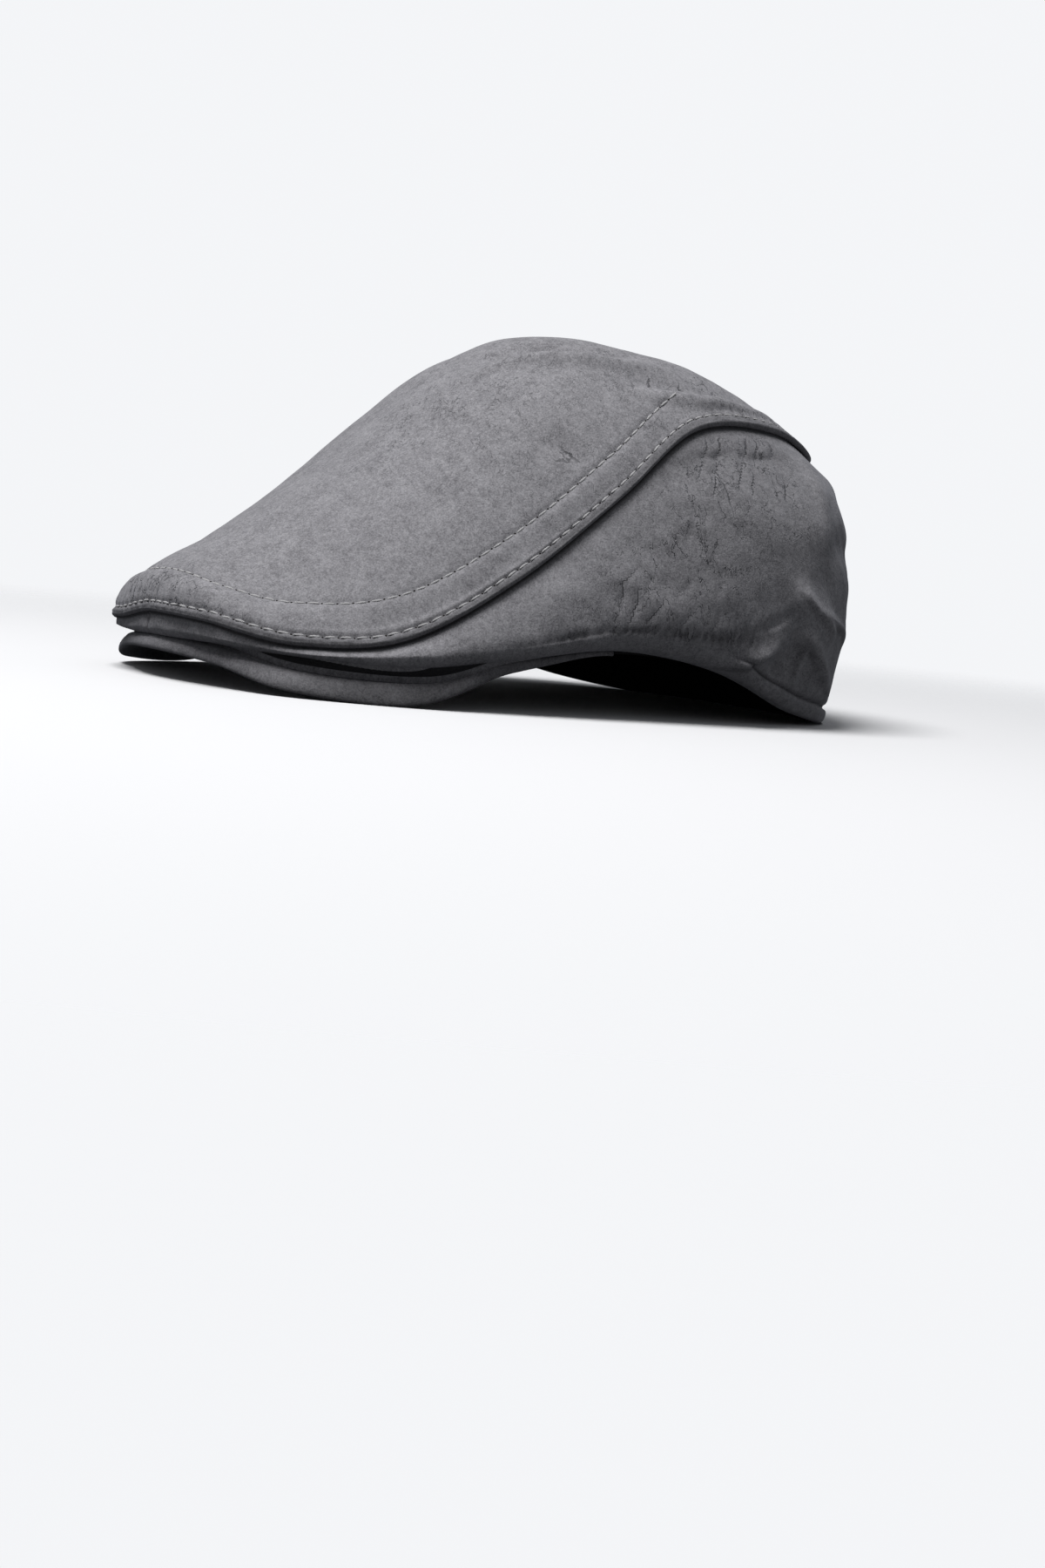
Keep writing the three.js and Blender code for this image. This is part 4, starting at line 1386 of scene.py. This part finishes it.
# %% [markdown]
# ## Stitches
# A row of stitches is one small thread shape repeated along a path, which is what Geometry
# Nodes do well. The path is a strip of edges with the direction out of the cloth stored on
# each point. The same tree makes the dark discs of painted shade that stand for the holes the
# needle leaves between the stitches, from the same path shifted by half a stitch. Copies placed
# by a loop would look the same, but a tree has its sizes as named inputs, so that one tree makes both.


# %% Parts of the stitch tree
def stitch_places(nodes, links, given):
    """Points at equal steps along the path."""
    curve = nodes.new("GeometryNodeMeshToCurve")
    links.new(given["Geometry"], curve.inputs["Mesh"])
    points = nodes.new("GeometryNodeResampleCurve")
    points.mode = "COUNT"
    links.new(curve.outputs["Curve"], points.inputs["Curve"])
    links.new(given["Count"], points.inputs["Count"])
    return points.outputs["Curve"]


def stitch_shape(nodes, links, given):
    """A small rounded shape of the given length, width and height."""
    ball = nodes.new("GeometryNodeMeshUVSphere")
    ball.inputs["Segments"].default_value = 8
    ball.inputs["Rings"].default_value = 6
    ball.inputs["Radius"].default_value = 0.5
    size = nodes.new("ShaderNodeCombineXYZ")
    for axis, name in zip("XYZ", ("Length", "Width", "Tall")):
        links.new(given[name], size.inputs[axis])
    shape = nodes.new("GeometryNodeTransform")
    links.new(ball.outputs["Mesh"], shape.inputs["Geometry"])
    links.new(size.outputs["Vector"], shape.inputs["Scale"])
    return shape.outputs["Geometry"]


def stitch_facing(nodes, links):
    """A turn that lays a stitch along the path and faces it out of the cloth."""
    tangent = nodes.new("GeometryNodeInputTangent")
    lengthwise = nodes.new("FunctionNodeAlignRotationToVector")
    lengthwise.axis = "X"
    links.new(tangent.outputs["Tangent"], lengthwise.inputs["Vector"])
    facing = nodes.new("GeometryNodeInputNamedAttribute")
    facing.data_type = "FLOAT_VECTOR"
    facing.inputs["Name"].default_value = "facing"
    upright = nodes.new("FunctionNodeAlignRotationToVector")
    upright.axis = "Z"
    upright.pivot_axis = "X"
    links.new(lengthwise.outputs["Rotation"], upright.inputs["Rotation"])
    links.new(facing.outputs["Attribute"], upright.inputs["Vector"])
    return upright.outputs["Rotation"]


def stitch_twist(nodes, links, given, rotation):
    """A small random turn of each stitch, within the given twist to either side."""
    random = nodes.new("FunctionNodeRandomValue")
    random.data_type = "FLOAT"
    lowest, highest, value = random.inputs[2], random.inputs[3], random.outputs[1]
    minus = nodes.new("ShaderNodeMath")
    minus.operation = "MULTIPLY"
    minus.inputs[1].default_value = -1
    links.new(given["Twist"], minus.inputs[0])
    links.new(minus.outputs[0], lowest)
    links.new(given["Twist"], highest)
    links.new(given["Seed"], random.inputs["Seed"])
    tilt = nodes.new("FunctionNodeAxisAngleToRotation")
    tilt.inputs["Axis"].default_value = (0, 0, 1)
    links.new(value, tilt.inputs["Angle"])
    turned = nodes.new("FunctionNodeRotateRotation")
    turned.rotation_space = "LOCAL"
    links.new(rotation, turned.inputs["Rotation"])
    links.new(tilt.outputs["Rotation"], turned.inputs["Rotate By"])
    return turned.outputs["Rotation"]


# %% Stitch tree
def stitch_tree():
    tree = bpy.data.node_groups.new("stitch row", "GeometryNodeTree")
    add_socket = tree.interface.new_socket
    add_socket("Geometry", in_out="INPUT", socket_type="NodeSocketGeometry")
    for name, kind in (("Count", "Int"), ("Length", "Float"), ("Width", "Float"), ("Tall", "Float"),
                       ("Twist", "Float"), ("Seed", "Int"), ("Material", "Material")):
        add_socket(name, in_out="INPUT", socket_type="NodeSocket" + kind)
    add_socket("Geometry", in_out="OUTPUT", socket_type="NodeSocketGeometry")
    nodes, links = tree.nodes, tree.links
    given = nodes.new("NodeGroupInput").outputs
    result = nodes.new("NodeGroupOutput")

    copies = nodes.new("GeometryNodeInstanceOnPoints")
    links.new(stitch_places(nodes, links, given), copies.inputs["Points"])
    links.new(stitch_shape(nodes, links, given), copies.inputs["Instance"])
    rotation = stitch_twist(nodes, links, given, stitch_facing(nodes, links))
    links.new(rotation, copies.inputs["Rotation"])
    real = nodes.new("GeometryNodeRealizeInstances")
    links.new(copies.outputs["Instances"], real.inputs["Geometry"])
    painted = nodes.new("GeometryNodeSetMaterial")
    links.new(real.outputs["Geometry"], painted.inputs["Geometry"])
    links.new(given["Material"], painted.inputs["Material"])
    links.new(painted.outputs["Geometry"], result.inputs["Geometry"])
    return tree


STITCH_TREE = stitch_tree()
print("stitch tree:", len(STITCH_TREE.nodes), "nodes")


# %% Stitch row helper
PATH_PLACES, STITCH_SEED = 900, 7


def resampled(values, run, places):
    return np.column_stack([np.interp(places, run, values[:, k]) for k in range(3)])


def stitch_path(name, points, facing, count, closed, shift):
    """The path as a strip of edges, from where the first copy lies."""
    loop = np.vstack([points, points[:1]]) if closed else points
    turned = np.vstack([facing, facing[:1]]) if closed else facing
    run = arc_lengths(loop)
    pitch = run[-1] / count if closed else run[-1] / (count - 1)
    start, stop = shift * pitch, run[-1] + (shift * pitch if closed else -shift * pitch)
    places = np.linspace(start, stop, PATH_PLACES, endpoint=not closed)
    wrapped = np.mod(places, run[-1]) if closed else places
    path, out = resampled(worn(loop), run, wrapped), resampled(turned, run, wrapped)
    edges = [(k, k + 1) for k in range(len(path) - 1)] + ([(len(path) - 1, 0)] if closed else [])
    mesh = bpy.data.meshes.new(name + "_path")
    mesh.from_pydata((path * MM).tolist(), edges, [])
    layer = mesh.attributes.new("facing", "FLOAT_VECTOR", "POINT")
    layer.data.foreach_set("vector", unit(out).ravel().astype(np.float32))
    guide_object = bpy.data.objects.new(name + "_path", mesh)
    bpy.context.scene.collection.objects.link(guide_object)
    return guide_object


def stitch_row(name, points, facing, count, closed, size, twist, material, shift=0.0):
    """Real copies of a small rounded shape along a path. size is length, width and height."""
    guide_object = stitch_path(name, points, facing, count, closed, shift)
    modifier = guide_object.modifiers.new("stitches", "NODES")
    modifier.node_group = STITCH_TREE
    values = {"Count": count - (1 if shift and not closed else 0), "Length": size[0] * MM,
              "Width": size[1] * MM, "Tall": size[2] * MM, "Twist": twist, "Seed": STITCH_SEED,
              "Material": material}
    for item in STITCH_TREE.interface.items_tree:
        if item.in_out == "INPUT" and item.name in values:
            modifier[item.identifier] = values[item.name]
    depsgraph = bpy.context.evaluated_depsgraph_get()
    made = bpy.data.meshes.new_from_object(guide_object.evaluated_get(depsgraph))
    guide_object.modifiers.clear()
    bpy.data.objects.remove(guide_object)
    piece = bpy.data.objects.new(name, made)
    bpy.context.scene.collection.objects.link(piece)
    made.shade_smooth()
    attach(piece, "root")
    print(name, "stitches:", count, "faces:", len(made.polygons))
    return piece


# %% Sewn row helper
THREAD_SIZE, HOLE_SIZE = (4.0, 0.8, 0.7), (0.8, 0.7, 0.3)
THREAD_PROUD, HOLE_PROUD, THREAD_TWIST = 0.05, 0.02, 0.08


def sewn(name, points, facing, count, closed=False):
    """A row of stitches, with a dark disc of painted shade between each two of them for the hole that the
    needle leaves.
    """
    stitch_row(name, points + facing * THREAD_PROUD, facing, count, closed, THREAD_SIZE, THREAD_TWIST,
               thread)
    stitch_row(name + "_holes", points + facing * HOLE_PROUD, facing, count, closed, HOLE_SIZE, 0.0,
               needle_hole_shade, shift=0.5)


# %% Sew the rows
def top_row(turns, inset):
    """The path of a row on both halves of the top panel, as points and facing directions."""
    outs = 1 - inset_share(turns, inset)
    points, normals = crown(turns, outs), crown_normal(turns, outs)
    halves = []
    for side in (1.0, -1.0):
        flip = np.array([side, 1.0, 1.0])
        relief = top_relief(turns, inset + 0 * turns, points * flip)
        halves.append(((points + normals * relief[..., None]) * flip, normals * flip))
    return halves


near, far = top_row(TOP_TURNS, edge_row_inset(TOP_TURNS))
row, facing = (full_ring(left, right) for left, right in zip(near, far))
sewn("edge_stitches", row, facing, EDGE_STITCHES, closed=True)

near, far = top_row(np.linspace(0, INNER_ROW_END, 200), INNER_ROW_INSET)
row, facing = (np.concatenate([right[1:][::-1], left]) for left, right in zip(near, far))
sewn("inner_stitches", row, facing, stitch_count(arc_lengths(row)[-1], closed=False))

# %% [markdown]
# ## Floor, light and camera
# The cap stands on pale paper that fades into a bright wall all round, so no horizon shows.
# One large soft light hangs above and in front. The paper that the camera sees throws no light
# back; a duller sheet just below it does, so that the underside of the cap stays dark. A single
# plane would be plainer, but its far edge would show. The floor, the wall and the light are in
# metres, and only the camera's place is in millimetres again.

# %% Floor sizes
FLOOR_RINGS = np.array([0.00001, 0.3, 0.8, 1.4, 2.6])
AROUND_FLOOR, SHEET_GAP, PAPER_FADE = 96, 0.0005, (0.24, 0.80)
PAPER_GREY, DULL_GREY, PAPER_BLUE = 0.80, 0.58, 1.015
WALL_MIDDLE, WALL_FLAT, WALL_RADIUS, WALL_TALL, WALL_DROP, WALL_STEPS = 0.001, 1.0, 2.0, 2.4, 0.004, 14
WALL_GLOW = (0.905, 0.915, 0.935, 1)


# %% Floor helpers
def disc_of_rings(name, radii, heights):
    """A round sheet from its middle out, with a height for each radius."""
    around = np.linspace(0, 2 * np.pi, AROUND_FLOOR, endpoint=False)
    points = np.stack([np.outer(np.cos(around), radii), np.outer(np.sin(around), radii),
                       np.broadcast_to(heights, (AROUND_FLOOR, len(radii)))], -1)
    quads, _ = grid_quads(AROUND_FLOOR, len(radii), ring=True)
    mesh = bpy.data.meshes.new(name)
    mesh.from_pydata(points.reshape(-1, 3).tolist(), [], quads[:, ::-1].tolist())
    mesh.shade_smooth()
    sheet = bpy.data.objects.new(name, mesh)
    bpy.context.scene.collection.objects.link(sheet)
    return sheet


def fading_paper(name, grey):
    """Paper that fades out with distance, so that the floor has no far edge."""
    material, nodes, links, shader = new_material(name)
    shader.inputs["Base Color"].default_value = (grey, grey, grey * PAPER_BLUE, 1)
    shader.inputs["Roughness"].default_value = 0.85
    place = nodes.new("ShaderNodeTexCoord").outputs["Object"]
    distance = nodes.new("ShaderNodeVectorMath")
    distance.operation = "LENGTH"
    links.new(place, distance.inputs[0])
    seen = between(nodes, links, distance.outputs["Value"], *PAPER_FADE, 1.0, 0.0)
    links.new(seen, shader.inputs["Alpha"])
    return material


def glowing_wall():
    material, _, _, shader = new_material("bright wall")
    shader.inputs["Base Color"].default_value = (0, 0, 0, 1)
    shader.inputs["Specular IOR Level"].default_value = 0
    shader.inputs["Emission Color"].default_value = WALL_GLOW
    shader.inputs["Emission Strength"].default_value = 1.0
    return material


# %% Floor and wall
floor = disc_of_rings("floor", FLOOR_RINGS, 0 * FLOOR_RINGS)
floor.data.materials.append(fading_paper("pale paper", PAPER_GREY))
under = disc_of_rings("floor for bounced light", FLOOR_RINGS, 0 * FLOOR_RINGS - SHEET_GAP)
under.data.materials.append(fading_paper("dull paper", DULL_GREY))
bend = np.linspace(0, np.pi / 2, WALL_STEPS)
wall_radii = np.concatenate([[WALL_MIDDLE, WALL_FLAT], WALL_RADIUS + np.sin(bend)])
wall_heights = np.concatenate([[0, 0], WALL_TALL * (1 - np.cos(bend))]) - WALL_DROP
wall = disc_of_rings("wall", wall_radii, wall_heights)
wall.data.materials.append(glowing_wall())
for sheet in (floor, wall):
    sheet.visible_diffuse = False
    sheet.visible_glossy = False
for sheet in (under, wall):
    sheet.visible_shadow = False
under.visible_camera = False
print("stage:", [sheet.name for sheet in (floor, under, wall)])

# %% Light
KEY_PLACE, KEY_WIDE, KEY_POWER, KEY_AIM = (0.06, -0.60, 1.70), 1.1, 37, Vector((0, 0, 0.05))
WORLD_COLOUR, WORLD_STRENGTH = (0.93, 0.96, 1.0, 1), 0.22
scene = bpy.context.scene
scene.view_settings.view_transform = "Standard"
world = bpy.data.worlds.new("soft room")
world.use_nodes = True
world.node_tree.nodes["Background"].inputs["Color"].default_value = WORLD_COLOUR
world.node_tree.nodes["Background"].inputs["Strength"].default_value = WORLD_STRENGTH
scene.world = world


def soft_light(name, location, size, power):
    """A round soft light that faces the cap."""
    data = bpy.data.lights.new(name, "AREA")
    data.shape = "DISK"
    data.size = size
    data.energy = power
    lamp = bpy.data.objects.new(name, data)
    lamp.location = location
    lamp.rotation_euler = (KEY_AIM - lamp.location).to_track_quat("-Z", "Y").to_euler()
    scene.collection.objects.link(lamp)


soft_light("key softbox", KEY_PLACE, KEY_WIDE, KEY_POWER)
print("key light:", KEY_POWER, "W at", KEY_PLACE)

# %% Camera
AZIMUTH, ELEVATION, ROLL = (math.radians(angle) for angle in (56.424, 5.665, 5.395))
CAMERA_PLACE = np.array([713.7, -451.7, 52.4])
FOCUS_PIXELS, FRAME_TALL, SENSOR = 2690, 1800, 36.0

back = np.array([math.sin(AZIMUTH) * math.cos(ELEVATION), -math.cos(AZIMUTH) * math.cos(ELEVATION),
                 math.sin(ELEVATION)])
level_right = np.array([math.cos(AZIMUTH), math.sin(AZIMUTH), 0])
level_up = np.cross(back, level_right)
right = math.cos(ROLL) * level_right + math.sin(ROLL) * level_up
up = -math.sin(ROLL) * level_right + math.cos(ROLL) * level_up
camera_data = bpy.data.cameras.new("camera")
camera_data.sensor_width = SENSOR
camera_data.lens = FOCUS_PIXELS * SENSOR / FRAME_TALL
camera_data.clip_start, camera_data.clip_end = 0.01, 50
camera = bpy.data.objects.new("camera", camera_data)
camera.matrix_world = Matrix.Translation(CAMERA_PLACE * MM) @ Matrix(
    np.column_stack([right, up, back]).tolist()).to_4x4()
scene.collection.objects.link(camera)
scene.camera = camera
print("camera at", (CAMERA_PLACE * MM).round(3).tolist(), "lens", round(camera_data.lens, 1), "mm")
